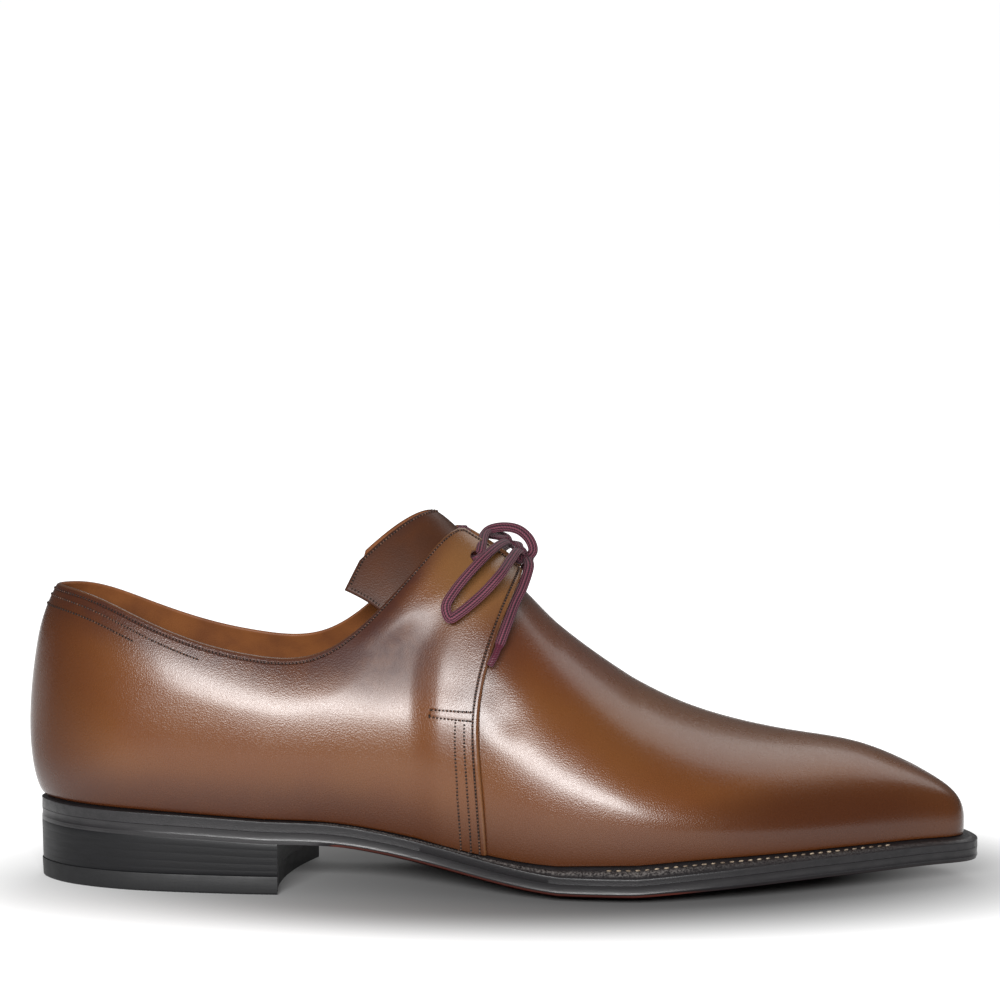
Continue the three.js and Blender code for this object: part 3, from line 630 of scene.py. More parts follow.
def calf_leather():
    finish = Finish("calf", Coat_Roughness=0.2, Specular_IOR_Level=0.3)
    x, y, z = axes = finish.axes()
    cloud = finish.noise(38 * mm, 3, 0.55)
    fine = finish.noise(5 * mm, 4, 0.6)
    from_top, from_seam = finish.mark("from_top"), finish.mark("from_seam")
    foot = finish.mark("from_foot")
    quarter = finish.mark("quarter")

    colour = finish.mix(finish.smooth(cloud, 0.35, 0.7) * 0.35, calf_brown, calf_red)
    throat = finish.blob(axes, (18 * mm, -8 * mm, 84 * mm), (44 * mm, 40 * mm, 34 * mm))
    colour = finish.mix(throat * 0.75, colour, calf_red)
    tab = finish.blob(axes, (-6 * mm, 0, 104 * mm), (26 * mm, 60 * mm, 26 * mm)) * quarter
    colour = finish.mix(tab * 0.9, colour, calf_olive)
    rim = (1 - finish.smooth(from_top, 2 * mm, 17 * mm)) * quarter * (1 - tab)
    collar = finish.blob(axes, (-40 * mm, 0, 80 * mm), (36 * mm, 70 * mm, 24 * mm)) * quarter
    seam = (1 - finish.smooth(from_seam, 0, 22 * mm)) * finish.smooth(z, 40 * mm, 66 * mm) * (1 - tab)
    seat = (1 - finish.smooth(foot, 3 * mm, 17 * mm)) * finish.smooth(x, 10 * mm, -60 * mm)
    back = finish.smooth(x, -122 * mm, -155 * mm)
    toe_side = finish.blob(axes, (104 * mm, -20 * mm, 27 * mm), (62 * mm, 60 * mm, 13 * mm))
    # painted shade: the upper darkens towards its foot, where little light from the floor reaches
    low = 1 - finish.smooth(foot, 0.5 * mm, 24 * mm)
    cloudy = finish.smooth(fine, 0.2, 0.75) * 0.4 + 0.7
    colour = finish.mix(rim * cloudy * 0.85, colour, plum_burnish_and_shade)
    colour = finish.mix(collar * cloudy, colour, plum_burnish_and_shade)
    colour = finish.mix(seam * cloudy * 0.6, colour, plum_burnish_and_shade)
    colour = finish.mix(seat * cloudy * 0.6, colour, plum_burnish_and_shade)
    colour = finish.mix(back * 0.75, colour, dark_burnish_and_shade)
    colour = finish.mix(toe_side * 0.85, colour, dark_burnish_and_shade)
    colour = finish.mix(low * 0.7, colour, dark_burnish_and_shade)
    rough = finish.smooth(fine, 0.3, 0.8) * 0.05 + collar * 0.22 + 0.26

    edge = finish.math("MINIMUM", from_top, from_seam)
    groove = 1 - finish.smooth(finish.math("ABSOLUTE", edge - row_from_edge), 0, 0.6 * mm)
    along_bar = (from_seam - bar_ends[0]) / (bar_ends[1] - bar_ends[0])
    over_bar = (z - bar_low - along_bar * bar_droop[0]) / (bar_high - bar_low)
    band = finish.smooth(over_bar, 0.0, 0.3) * (1 - finish.smooth(over_bar, 0.75, 1.05))
    band = band * finish.smooth(along_bar, 1.03, 0.97) * finish.smooth(along_bar, -0.05, 0.0)
    relief = (band - groove) * quarter
    normal = leather_grain(finish, 0.06 * mm, finish.bump(relief, 0.28 * mm))
    # the rounded edges are painted paler: partly wear, partly a painted highlight
    edge_wear_and_highlight = (1 - finish.smooth(edge, 0.3 * mm, 0.8 * mm)) * quarter
    colour = finish.mix(edge_wear_and_highlight * 0.2, colour, edge_tan_and_highlight)
    # painted shadow on the vamp just below the step where the quarters' edge lies over it
    painted_step_shadow = (1 - finish.smooth(from_seam, 0.2 * mm, 1.6 * mm)) * (1 - quarter)
    colour = finish.mix(painted_step_shadow * 0.7, colour, plum_burnish_and_shade)
    # painted shade in the groove of each stitch row, over the groove's bump
    colour = finish.mix(groove * quarter * 0.55, colour, plum_burnish_and_shade)
    return finish.dress(Base_Color=colour, Roughness=rough, Normal=normal,
                        Coat_Weight=(1 - collar) * 0.35)


calf = calf_leather()
print("calf nodes:", len(calf.node_tree.nodes))


# %% Lining, tongue and edge finishes
def lining_leather():
    finish = Finish("lining", Specular_IOR_Level=0.35)
    cloud = finish.smooth(finish.noise(14 * mm, 4, 0.6), 0.3, 0.75)
    colour = finish.mix(cloud, paint(128, 78, 42), paint(106, 61, 32))
    return finish.dress(Base_Color=colour, Roughness=finish.smooth(cloud, 0, 1) * 0.1 + 0.5,
                        Normal=leather_grain(finish, 0.03 * mm))


def tongue_calf():
    finish = Finish("tongue_calf", Specular_IOR_Level=0.18)
    cloud = finish.smooth(finish.noise(9 * mm, 5, 0.6), 0.3, 0.75)
    edge = 1 - finish.smooth(finish.mark("from_edge"), 0.5 * mm, 6 * mm)
    colour = finish.mix(cloud * 0.6, paint(70, 40, 24), paint(56, 31, 19))
    colour = finish.mix(edge * 0.6, colour, paint(60, 36, 28))
    return finish.dress(Base_Color=colour, Roughness=cloud * 0.08 + 0.36,
                        Normal=leather_grain(finish, 0.04 * mm))


def edge_dye(name, light, dark, rough, bevel_colour=None):
    finish = Finish(name, Specular_IOR_Level=0.5)
    stretched = finish.node("ShaderNodeVectorMath", {"operation": "MULTIPLY"},
                            {0: finish.place(), 1: (0.15, 0.15, 1.0)})
    fibres = finish.noise(0.9 * mm, 4, 0.6, stretched)
    cloud = finish.smooth(finish.noise(6 * mm, 3, 0.6), 0.3, 0.75)
    colour = finish.mix(cloud, light, dark)
    if bevel_colour:
        colour = finish.mix(finish.smooth(finish.mark("bevelled"), 0.3, 0.6), colour, bevel_colour)
    return finish.dress(Base_Color=colour, Roughness=cloud * 0.1 + rough,
                        Normal=finish.bump(fibres, 0.05 * mm, 0.8))


lining = lining_leather()
tongue_finish = tongue_calf()
sole_edge = edge_dye("sole_edge", paint(30, 28, 30), paint(20, 19, 21), 0.3,
                     paint(92, 40, 30))
bottom_leather = edge_dye("sole_bottom", paint(66, 28, 22), paint(40, 20, 18), 0.4)
rubber = edge_dye("rubber", paint(16, 16, 18), paint(10, 10, 12), 0.5)
print("finishes:", len(bpy.data.materials))

# %% [markdown]
# ## The quarters
# Both quarters are one grid that runs from the outer side seam round the heel to the inner
# one. Near a free edge the two faces of the leather close in a half round, as a folded edge
# does, so the grid has a few closely set lines there. Over the vamp the leather stands a
# step higher, and the facing's front corner, which nothing holds down, lifts off the tongue.

# %% Creases
# from and to (x, z), depth of the trough (a swell where it is negative) and half width, in mm
quarter_creases = [(-125, 50, -34, 47, -2.2, 16), (-16.4, 89, -19.5, 71, 0.35, 4.5),
                   (-52, 78, -34, 72, 0.4, 7)]
vamp_creases = [(-4, 67, 0, 59, 0.4, 4), (3, 88, 6, 72, -0.5, 6)]
collar_draw, collar_reach = 2.2 * mm, 20 * mm


def creased(points, normals, creases):
    """Push points in along soft troughs, the same on both sides of the shoe."""
    for x1, z1, x2, z2, depth, width in creases:
        start, run = np.array([x1, z1]) * mm, np.array([x2 - x1, z2 - z1]) * mm
        here = points[..., [0, 2]] - start
        share = np.clip(here @ run / (run @ run), 0, 1)
        far = np.linalg.norm(here - share[..., None] * run, axis=-1) / (width * mm)
        points = points - normals * (depth * mm * np.exp(-far**2 / 2))[..., None]
    return points


# %% Quarters
step_full, tab_full, step_fade = 14 * mm, 34 * mm, 12 * mm
quarter_bite = 0.4 * mm
lift_fade = 30 * mm
free_from = 0.5
half_girth = 178 * mm
rim_steps = np.array([0, 0.07, 0.2, 0.4, 0.65, 0.95, 1.5]) * mm


def on_quarter(back, v, inner):
    place = np.full(np.broadcast(back, v).shape, 8.0)
    for _ in range(8):
        height = v * top_height(place, inner)
        place = seam_at(height, inner) * (1 - back)
    return place, height


def quarter_layers(place, height, v, inner):
    seam = last_point(mirrored(seam_at(height, inner), inner), height)
    behind = np.linalg.norm(seam - last_point(mirrored(place, inner), height), axis=-1)
    full = lerp(step_full, tab_full, ease((v - 0.7) / 0.25))
    fade = ease((behind - full) / step_fade)
    lift = facing_lift * (1 - ease(behind / lift_fade)) * ease((v - free_from) / (1 - free_from))
    return lerp(-quarter_bite, -wall, fade) + lift, lerp(seam_step, 0.1 * mm, fade) + lift


def quarter_grid(inner):
    back = np.concatenate([rim_steps, np.linspace(3 * mm, half_girth, 118)])[:, None] / half_girth
    top = skin(*on_quarter_at(back, np.ones_like(back), inner), 0 * back)
    below = skin(*on_quarter_at(back, np.full_like(back, 0.99), inner), 0 * back)
    speed = np.linalg.norm(top - below, axis=-1) / 0.01
    rim = 1 - rim_steps[::-1][None, :] / speed
    body = np.linspace(0, 1, 64)[:-1][None, :] * rim[:, :1]
    v = np.concatenate([body, rim], axis=1)
    back = np.broadcast_to(back, v.shape)
    place, height = on_quarter(back, v, inner)
    inside, outside = quarter_layers(place, height, v, inner)
    at = mirrored(place, inner)
    outer = skin(at, height, outside)
    from_top, from_seam = run_lengths(outer, 1, True), run_lengths(outer, 0)
    half, middle = (outside - inside) / 2, (outside + inside) / 2
    drawn_in = collar_draw * np.clip(1 - from_top / collar_reach, 0, 1)**2
    middle = middle - drawn_in * ease((from_seam - tab_full) / lift_fade)
    share = rounding(np.minimum(from_top, from_seam), half)
    marks = {"from_top": from_top, "from_seam": from_seam, "from_foot": run_lengths(outer, 1),
             "quarter": np.ones_like(from_top)}
    normal = last_normal(at, height)
    faces = {key: creased(skin(at, height, middle + sign * half * share), normal, quarter_creases)
             for key, sign in (("outer", 1), ("inner", -1))}
    return {**faces, "marks": marks}


def on_quarter_at(back, v, inner):
    place, height = on_quarter(back, v, inner)
    return mirrored(place, inner), height


quarter_sides = [quarter_grid(False), quarter_grid(True)]


def round_heel(key):
    """The outer side's grid from its seam to the heel, then the inner side's back to its seam."""
    parts = [side["marks"][key] if key in side["marks"] else side[key] for side in quarter_sides]
    return np.concatenate([parts[0], parts[1][-2::-1]])


quarter_marks = {key: round_heel(key) for key in quarter_sides[0]["marks"]}
outer_face, inner_face = round_heel("outer"), round_heel("inner")
foot_strip = np.stack([inner_face[:, 0], outer_face[:, 0]], axis=1)
quarters = make_piece("quarters", [
    {"points": outer_face, "marks": quarter_marks},
    {"points": inner_face, "flip": True, "finish": 1, "marks": quarter_marks},
    {"points": foot_strip, "finish": 1},
], [calf, lining])

# %% [markdown]
# ## The vamp
# The vamp runs from under the facings to the toe. Its grid lines go from one side of the
# welt over the top line to the other side, and all meet at the tip of the toe.

# %% Vamp
def vamp_grid(offset):
    across = np.linspace(-1, 1, 201)[None, :]
    height = 1 - np.abs(across)
    inner = across > 0
    starts = [seam_place(height, flag, seam_overlap) for flag in (False, True)]
    start = np.where(inner, starts[1], starts[0])
    place = lerp(start, toe_rib, np.linspace(0, 1, 151)[:, None])
    at, height = mirrored(place, inner), height + 0 * place
    return creased(skin(at, height, offset + 0 * place), last_normal(at, height), vamp_creases)


vamp_outer, vamp_inner = vamp_grid(0), vamp_grid(-wall)
vamp_foot = np.minimum(run_lengths(vamp_outer, 1), run_lengths(vamp_outer, 1, True))
vamp_seam = np.maximum(0, run_lengths(vamp_outer, 0) - seam_overlap)
vamp_marks = {"from_top": 0 * vamp_foot + 1, "from_seam": vamp_seam, "from_foot": vamp_foot}
vamp = make_piece("vamp", [
    {"points": vamp_outer, "marks": vamp_marks, "flip": False},
    {"points": vamp_inner, "flip": True, "finish": 1, "marks": vamp_marks},
    {"points": np.stack([vamp_inner[:, 0], vamp_outer[:, 0]], axis=1), "finish": 1},
    {"points": np.stack([vamp_outer[:, -1], vamp_inner[:, -1]], axis=1), "finish": 1},
    {"points": np.stack([vamp_outer[0], vamp_inner[0]], axis=1), "finish": 0},
], [calf, lining])

# %% [markdown]
# ## The tongue
# The tongue is a band round the instep under the facings. Its top is cut square with two
# clipped corners. The corners are drawn from the side, each side has its own, and the grid
# spreads between them.

# %% Tongue
tongue_corners = {
    "top": (-0.070, -0.070, None), "shoulder": (-0.152, -0.147, 0.93),
    "clipped": (-0.167, -0.154, 0.82), "foot": (-0.064, -0.064, 0.54), "low": (0.038, 0.038, None),
}
tongue_gap = 0.9 * mm
shoulder_at = 0.75
tongue_bend = 1.6


def drawn_at(out_x, in_x, up, inner):
    x = (in_x if inner else out_x) * sole_length
    if up is None:
        return solve(lambda p: top_x(p) - x, 0, toe_rib, (1,)), np.ones(1)
    place, height = np.full(1, 6.0), np.full(1, 0.7)
    for _ in range(8):
        def above(h, place=place):
            point = last_point(mirrored(place, inner), h)
            return point[..., 2] - feather_z(point[..., 0]) - up * instep_rise
        height = solve(above, belly_height, 1, (1,))
        place = solve(lambda p, h=height: last_point(mirrored(p, inner), h)[..., 0] - x, 3, 12, (1,))
    return place, height


def between(a, b, t, bend=1):
    return lerp(a[0], b[0], t**bend), lerp(a[1], b[1], t)


def tongue_at(u, out, inner):
    c = {name: drawn_at(*corner, inner) for name, corner in tongue_corners.items()}
    low = between(c["low"], c["foot"], out, tongue_bend)
    shoulder = between(c["top"], c["shoulder"], np.minimum(out / shoulder_at, 1), tongue_bend)
    clip = between(c["shoulder"], c["clipped"], np.maximum(out - shoulder_at, 0) / (1 - shoulder_at))
    top = [np.where(out < shoulder_at, a, b) for a, b in zip(shoulder, clip)]
    return lerp(low[0], top[0], u), lerp(low[1], top[1], u)


edge_shares = np.array([0, 0.0014, 0.004, 0.008, 0.014, 0.022])
u_steps = np.concatenate([np.linspace(0, 0.975, 70), 1 - edge_shares[::-1]])[:, None]
out_steps = np.concatenate([np.linspace(0, 0.95, 44), 1 - 2 * edge_shares[::-1]])[None, :]
tongue_places = [tongue_at(u_steps, out_steps, inner) for inner in (False, True)]
tongue_place = np.concatenate([tongue_places[0][0][:, ::-1], rib_count - tongue_places[1][0][:, 1:]], 1)
tongue_height = np.concatenate([tongue_places[0][1][:, ::-1], tongue_places[1][1][:, 1:]], 1)
tongue_middle = -wall - tongue_gap - tongue_thickness / 2
tongue_centre = skin(tongue_place, tongue_height, tongue_middle + 0 * tongue_place)
tongue_sides = np.minimum(run_lengths(tongue_centre, 1), run_lengths(tongue_centre, 1, True))
from_edge = np.minimum(tongue_sides, run_lengths(tongue_centre, 0, True))
tongue_half = tongue_thickness / 2
tongue_share = rounding(from_edge, tongue_half) * tongue_half
tongue_outer = skin(tongue_place, tongue_height, tongue_middle + tongue_share)
tongue_inner = skin(tongue_place, tongue_height, tongue_middle - tongue_share)
tongue = make_piece("tongue_leather", [
    {"points": tongue_outer, "flip": True, "marks": {"from_edge": from_edge}},
    {"points": tongue_inner, "finish": 1, "marks": {"from_edge": from_edge}},
    {"points": np.stack([tongue_inner[0], tongue_outer[0]], axis=1), "flip": True},
], [tongue_finish, lining])

# %% [markdown]
# ## Sole, welt and heel
# The plates of the sole are ladders: each rung runs from the outer edge to the inner one. A
# ring closes them, and the ring's section gives the edge its look: a shallow hollow that the
# edge iron leaves, and a lip over a bevel that shows a line of brown leather at the waist.

# %% Ladders and rings
ring_rungs = 240
ladder_places = np.linspace(0, toe_rib, ring_rungs + 1)
ring_places = np.concatenate([ladder_places, (rib_count - ladder_places)[-2::-1]])


def across_at(place, xy):
    outer = np.stack([edge_x(place), edge_y(place)], -1)
    inner = np.stack([edge_x(rib_count - place), edge_y(rib_count - place)], -1)
    span = inner - outer
    width = np.maximum(np.linalg.norm(span, axis=-1), 1e-9)
    share = 2 * np.sum((xy - outer) * span, axis=-1) / width**2 - 1
    return np.where(width < 1e-6, 1, np.clip(share, -1, 1))


def ladder(inset, height, rungs=41, places=ladder_places):
    """Grid of rungs between the two sides, drawn in by inset(place); height(x, across)."""
    v = np.linspace(0, 1, rungs)[None, :, None]
    outer = in_plan(places, inset(places))[0][:, None]
    inner = in_plan(rib_count - places, inset(rib_count - places))[0][:, None]
    xy = lerp(outer, inner, v)
    return joined(xy, height(xy[..., 0], across_at(places[:, None], xy)))


def ring(inset, height, places=ring_places):
    xy = in_plan(places, inset)[0]
    return joined(xy, height(xy[..., 0]))


# %% Outsole
heel_front = -62 * mm
bevel_waist, bevel_fore = 1.5 * mm, 0.5 * mm


def bevel(place):
    x = edge_x(place)
    waist = ease((x - heel_front) / (12 * mm)) * (1 - ease((x - 30 * mm) / (40 * mm)))
    fore = ease((x - heel_front) / (12 * mm))
    return bevel_fore * fore + (bevel_waist - bevel_fore) * waist


# height share from the bottom, inset in mm, share of the bevel
outsole_section = [(0, 0, 1), (0.12, 0.0, 0.55), (0.22, 0.0, 0.12), (0.26, 0.02, 0), (0.30, 0.0, 0),
                   (0.34, 0.02, 0), (0.40, 0.08, 0), (0.50, 0.14, 0), (0.66, 0.18, 0),
                   (0.82, 0.16, 0), (0.94, 0.10, 0), (0.985, 0.08, 0), (1, 0.14, 0)]


def outsole_ring(share, inset, bevel_part):
    inset_mm = inset * mm + bevel(ring_places) * bevel_part
    return ring(inset_mm, lambda x: sole_bottom(x, 1) + share * outsole_thickness)


outsole_side = np.stack([outsole_ring(*row) for row in outsole_section], axis=1)
bevel_marks = np.array([1, 1, 0.6, 0] + [0] * (len(outsole_section) - 4)) * (bevel(ring_places) / bevel_waist)[:, None]
top_inset = outsole_section[-1][1] * mm
outsole = make_piece("outsole_leather", [
    {"points": outsole_side, "marks": {"bevelled": bevel_marks}},
    {"points": ladder(bevel, sole_bottom), "finish": 1},
    {"points": ladder(lambda p: top_inset + 0 * p, outsole_top), "flip": True},
], [sole_edge, bottom_leather])

# %% [markdown]
# ## The welt
# The welt is the strip between upper and sole. A toothed wheel is run along its top, hard at
# the waist and lightly at the forefoot, where the stitches lie. The teeth are part of the
# mesh, so the ring has four columns for each tooth, at even steps round the shoe.

# %% Welt
tooth_length = 1.15 * mm
welt_under = 3.5 * mm
fine_places = np.linspace(0, rib_count, 4001)
fine_edge = np.stack([edge_x(fine_places), edge_y(fine_places)], axis=-1)
fine_run = np.concatenate([[0], np.cumsum(np.linalg.norm(np.diff(fine_edge, axis=0), axis=-1))])
welt_teeth = int(fine_run[-1] / tooth_length)
welt_run = np.linspace(0, fine_run[-1], 4 * welt_teeth + 1)
welt_places = np.interp(welt_run, fine_run, fine_places)
wheel_from, wheel_to = -64 * mm, 44 * mm


def wheel_share(x):
    waist = ease((x - wheel_from) / (10 * mm)) * (1 - ease((x - wheel_to) / (26 * mm)))
    fore = ease((x - wheel_to) / (26 * mm))
    return 0.12 + 0.88 * waist + 0.25 * fore


# share of the way in, from the edge to the upper; rise in mm; share of the wheel's teeth
welt_section = [(0.03, 0.0, 0), (0.10, 0.02, 0), (0.18, 0.10, 0.2), (0.28, 0.30, 0.8), (0.38, 0.38, 1),
                (0.50, 0.32, 1), (0.60, 0.12, 0.5), (0.70, -0.10, 0.1), (0.82, -0.12, 0), (1, 0, 0)]
tooth_depth = 0.34 * mm


def welt_line(share, rise, teeth):
    x = edge_x(welt_places)
    tooth = 0.5 - 0.5 * np.cos(2 * math.pi * welt_run / fine_run[-1] * welt_teeth)
    rng = np.random.default_rng(7)
    uneven_wheeling = np.interp(welt_run, np.linspace(0, fine_run[-1], 300), 0.6 + 0.4 * rng.random(300))
    wheel = wheel_share(x)
    lift = rise * mm * (0.3 + 0.7 * wheel) - teeth * tooth * tooth_depth * wheel * uneven_wheeling
    inset = inset_at(welt_places) * share
    return ring(inset, lambda at: lerp(welt_edge_top(at), welt_inner_top(at), share) + lift, welt_places)


welt_bottom_gap = 0.05 * mm
welt_side = [ring(0.14 * mm + 0 * welt_places, lambda x: outsole_top(x, 1) + welt_bottom_gap, welt_places),
             ring(0.08 * mm + 0 * welt_places, lambda x: outsole_top(x, 1) + 0.12 * mm, welt_places),
             ring(0.12 * mm + 0 * welt_places, lambda x: welt_edge_top(x) - 0.6 * mm, welt_places),
             ring(0.03 * mm + 0 * welt_places, lambda x: welt_edge_top(x) - 0.25 * mm, welt_places)]
welt_top = [welt_line(*row) for row in welt_section]
inner_end = [ring(inset_at(welt_places) + welt_under, welt_inner_top, welt_places),
             ring(inset_at(welt_places) + welt_under, lambda x: outsole_top(x, 1) + welt_bottom_gap, welt_places)]
welt_ring = np.stack(welt_side + welt_top + inner_end + welt_side[:1], axis=1)
print("teeth:", welt_teeth, "round the welt:", round(fine_run[-1], 3), "m")


# %% Welt finish
def welt_leather():
    finish = Finish("welt_leather", Specular_IOR_Level=0.5)
    cloud = finish.smooth(finish.noise(2.2 * mm, 4, 0.7), 0.35, 0.7)
    # grey patches on the wheeled ridge: painted glints where the teeth catch the light, and the ridge rubbed by the
    # wheel
    uneven_wheeling = finish.mark("wheel") * finish.smooth(finish.noise(0.8 * mm, 3, 0.7), 0.38, 0.62)
    colour = finish.mix(cloud, paint(30, 28, 30), paint(20, 19, 21))
    colour = finish.mix(uneven_wheeling, colour, paint(104, 100, 98))
    return finish.dress(Base_Color=colour, Roughness=cloud * 0.12 + 0.36,
                        Normal=finish.bump(finish.noise(0.5 * mm, 4, 0.7), 0.12 * mm, 0.8))


wheel_marks = np.zeros(welt_ring.shape[:2])
wheel_mark_line = wheel_share(edge_x(welt_places))
first_top = len(welt_side)
for k, (_, _, teeth) in enumerate(welt_section):
    wheel_marks[:, first_top + k] = teeth * np.clip(wheel_mark_line, 0, 1) * (wheel_mark_line > 0.14)
welt = make_piece("welt_strip", [{"points": welt_ring, "marks": {"wheel": wheel_marks}}], [welt_leather()])

# %% [markdown]
# ## The heel and the insole
# The heel is a stack of lifts, cut to the outline of the seat and dyed with the edge. Fine
# lines show where the lifts meet. The front face is hollow. On the floor lies the top piece.

# %% Heel
breast_outer, breast_inner = 4.92, 5.15
breast_hollow = 4 * mm
heel_taper = 0.3 * mm
heel_crowding = 1.6
heel_rungs = np.linspace(0, 1, 61)
lift_lines = (0.16, 0.36, 0.58, 0.80)


def heel_grid(inset, height, shrink=1.0, v=np.linspace(0, 1, 41)):
    u = heel_rungs[:, None]
    outer = in_plan(u**heel_crowding * breast_outer, inset + 0 * u)[0]
    inner = in_plan(rib_count - u**heel_crowding * breast_inner, inset + 0 * u)[0]
    xy = lerp(outer, inner, v[None, :, None])
    xy[..., 0] -= breast_hollow * 4 * v * (1 - v) * u**6
    return joined(xy, height(xy[..., 0], 2 * v[None, :] - 1 + 0 * u))


def heel_wall(bottom, top, section):
    rows = []
    for share, inset in section:
        grid = heel_grid(heel_taper * (1 - share) + inset * mm,
                         lambda x, a, s=share: lerp(bottom(x, a), top(x, a), s))
        rows.append(np.concatenate([grid[:, 0], grid[-1, 1:-1], grid[::-1, -1]]))
    return np.stack(rows, axis=1)


def lift_section():
    section = [(0, 0.12), (0.03, 0)]
    for line in lift_lines:
        section += [(line - 0.012, 0), (line, 0.014), (line + 0.012, 0)]
    return section + [(0.97, 0), (1, 0.1)]


def heel_block(name, bottom, top, section, finishes):
    walls = heel_wall(bottom, top, section)
    low, high = section[0][1] * mm + heel_taper, section[-1][1] * mm
    return make_piece(name, [
        {"points": walls},
        {"points": heel_grid(low, bottom)},
        {"points": heel_grid(high, top), "flip": True},
    ], finishes)


def heel_edge():
    finish = Finish("heel_edge", Specular_IOR_Level=0.32)
    stretched = finish.node("ShaderNodeVectorMath", {"operation": "MULTIPLY"},
                            {0: finish.place(), 1: (0.12, 0.12, 1.0)})
    layers = finish.noise(0.7 * mm, 4, 0.65, stretched)
    colour = finish.mix(finish.smooth(layers, 0.3, 0.7), paint(13, 13, 16), paint(8, 8, 10))
    return finish.dress(Base_Color=colour, Roughness=layers * 0.15 + 0.36,
                        Normal=finish.bump(layers, 0.04 * mm, 0.8))


heel_finish = heel_edge()
seat_gap = 0.04 * mm
stack_bottom = top_piece_thickness + seat_gap
heel_stack = heel_block("heel_lifts", lambda x, a: stack_bottom + 0 * x,
                        lambda x, a: sole_bottom(x, a) - seat_gap, lift_section(), [heel_finish])
top_section = [(0, 0.25), (0.05, 0.06), (0.12, 0), (0.95, 0), (1, 0.1)]
top_piece = heel_block("heel_top", lambda x, a: 0 * x, lambda x, a: top_piece_thickness + 0 * x,
                       top_section, [rubber])

# %% Insole
insole_margin = wall + 0.1 * mm
insole_rim = [(0.8, insole_margin + 0.4 * mm), (1, insole_margin + 1.2 * mm)]


def insole_inset(extra):
    return lambda place: inset_at(place) + extra


insole_walls = np.stack([
    ring(inset_at(ring_places) + insole_margin, lambda x: feather_z(x)),
    ring(inset_at(ring_places) + insole_rim[0][1], lambda x: feather_z(x) + 0.8 * insole_thickness),
    ring(inset_at(ring_places) + insole_rim[1][1], lambda x: feather_z(x) + insole_thickness)], axis=1)
insole = make_piece("insole_leather", [
    {"points": insole_walls},
    {"points": ladder(insole_inset(insole_margin), lambda x, a: feather_z(x) + 0 * a)},
    {"points": ladder(insole_inset(insole_rim[1][1]), lambda x, a: feather_z(x) + insole_thickness + 0 * a),
     "flip": True},
], [lining])

# %% [markdown]
# ## The lace
# The lace is a flat cord. It comes up through each eyelet, turns over the facing's edge and
# meets its other half in the knot, from which two loops and two ends hang. The routes were
# chosen as shares of the reach of a loop or an end, measured from the knot.

# %% Routes of the lace
knot_x, knot_above = 0.012 * sole_length, 11 * mm
knot_middle = np.array([knot_x, ridge_side(knot_x) * ball_width, ridge_z(knot_x) + knot_above])
loop_reach, end_reach = 43 * mm, 50 * mm
loop_line = [(-0.037, 0.093, 0.037), (-0.075, 0.190, 0.078), (-0.235, 0.560, 0.020),
             (-0.463, 0.720, -0.219), (-0.530, 0.767, -0.337), (-0.500, 0.790, -0.421),
             (-0.440, 0.795, -0.388), (-0.267, 0.737, -0.253), (-0.128, 0.670, -0.112),
             (-0.047, 0.440, -0.030), (0.014, 0.190, 0.014), (0.030, 0.098, -0.014)]
end_line = [(0.073, 0.042, -0.061), (0.086, 0.170, -0.094), (0.044, 0.310, -0.210),
            (-0.008, 0.430, -0.304), (-0.060, 0.595, -0.418), (-0.138, 0.722, -0.600),
            (-0.174, 0.744, -0.662)]


def catmull(points, steps):
    """Points at even shares of a smooth curve through the given ones."""
    points = np.array(points, float)
    gaps = np.sqrt(np.linalg.norm(np.diff(points, axis=0), axis=-1))
    knots = np.concatenate([[0], np.cumsum(gaps)])
    tangents = np.gradient(points, knots, axis=0)
    at = np.linspace(0, knots[-1], steps)
    i = np.clip(np.searchsorted(knots, at, side="right") - 1, 0, len(points) - 2)
    span = (knots[i + 1] - knots[i])[:, None]
    t = (at - knots[i])[:, None] / span
    return ((2 * t**3 - 3 * t**2 + 1) * points[i] + (t**3 - 2 * t**2 + t) * span * tangents[i]
            + (3 * t**2 - 2 * t**3) * points[i + 1] + (t**3 - t**2) * span * tangents[i + 1])


def lace_route(line, reach, side, steps):
    shares = np.array(line) * (1, -side, 1)
    return catmull(knot_middle + shares * reach, steps)


def cord_length(points):
    return float(np.sum(np.linalg.norm(np.diff(points, axis=0), axis=-1)))


# %% Lace finish and ribbon
def lace_finish(name, light, dark, rough):
    finish = Finish(name, Specular_IOR_Level=0.22, Sheen_Weight=0.05)
    across, along = finish.mark("across"), finish.mark("along")
    ribs_wave = finish.node("ShaderNodeMath", {"operation": "SINE"}, {0: across * (2 * math.pi * 5)})
    braid = finish.node("ShaderNodeMath", {"operation": "SINE"},
                        {0: along * (2 * math.pi / (0.9 * mm)) + across * (2 * math.pi * 2.5)})
    weave = ribs_wave * 0.35 + braid * 0.15 + 0.5
    # painted highlight on the ribs of the weave and painted shade between them, following its bump
    colour = finish.mix(finish.smooth(weave, 0.2, 0.9), dark, light)
    return finish.dress(Base_Color=colour, Roughness=rough,
                        Normal=finish.bump(weave, 0.16 * mm, 1.0))


lace_cotton = lace_finish("lace_cotton", paint(112, 60, 74), paint(40, 20, 28), 0.7)
aglet_film = lace_finish("aglet_film", paint(84, 34, 48), paint(66, 26, 38), 0.3)
section_steps = np.linspace(0, 2 * math.pi, 25)


def ribbon_points(route, facing, width=lace_width, thickness=lace_thickness):
    """A flat tube along the route; facing: a vector for each point that its flat side looks to."""
    tangent = unit(np.gradient(route, axis=0))
    across = unit(np.cross(facing, tangent))
    face = unit(np.cross(tangent, across))
    side = np.sign(np.cos(section_steps)) * np.abs(np.cos(section_steps)) ** 0.6
    rise = np.sign(np.sin(section_steps)) * np.abs(np.sin(section_steps)) ** 0.75
    wide = np.broadcast_to(width, len(route))[:, None, None] / 2
    thick = np.broadcast_to(thickness, len(route))[:, None, None] / 2
    return (route[:, None] + across[:, None] * side[None, :, None] * wide
            + face[:, None] * rise[None, :, None] * thick)


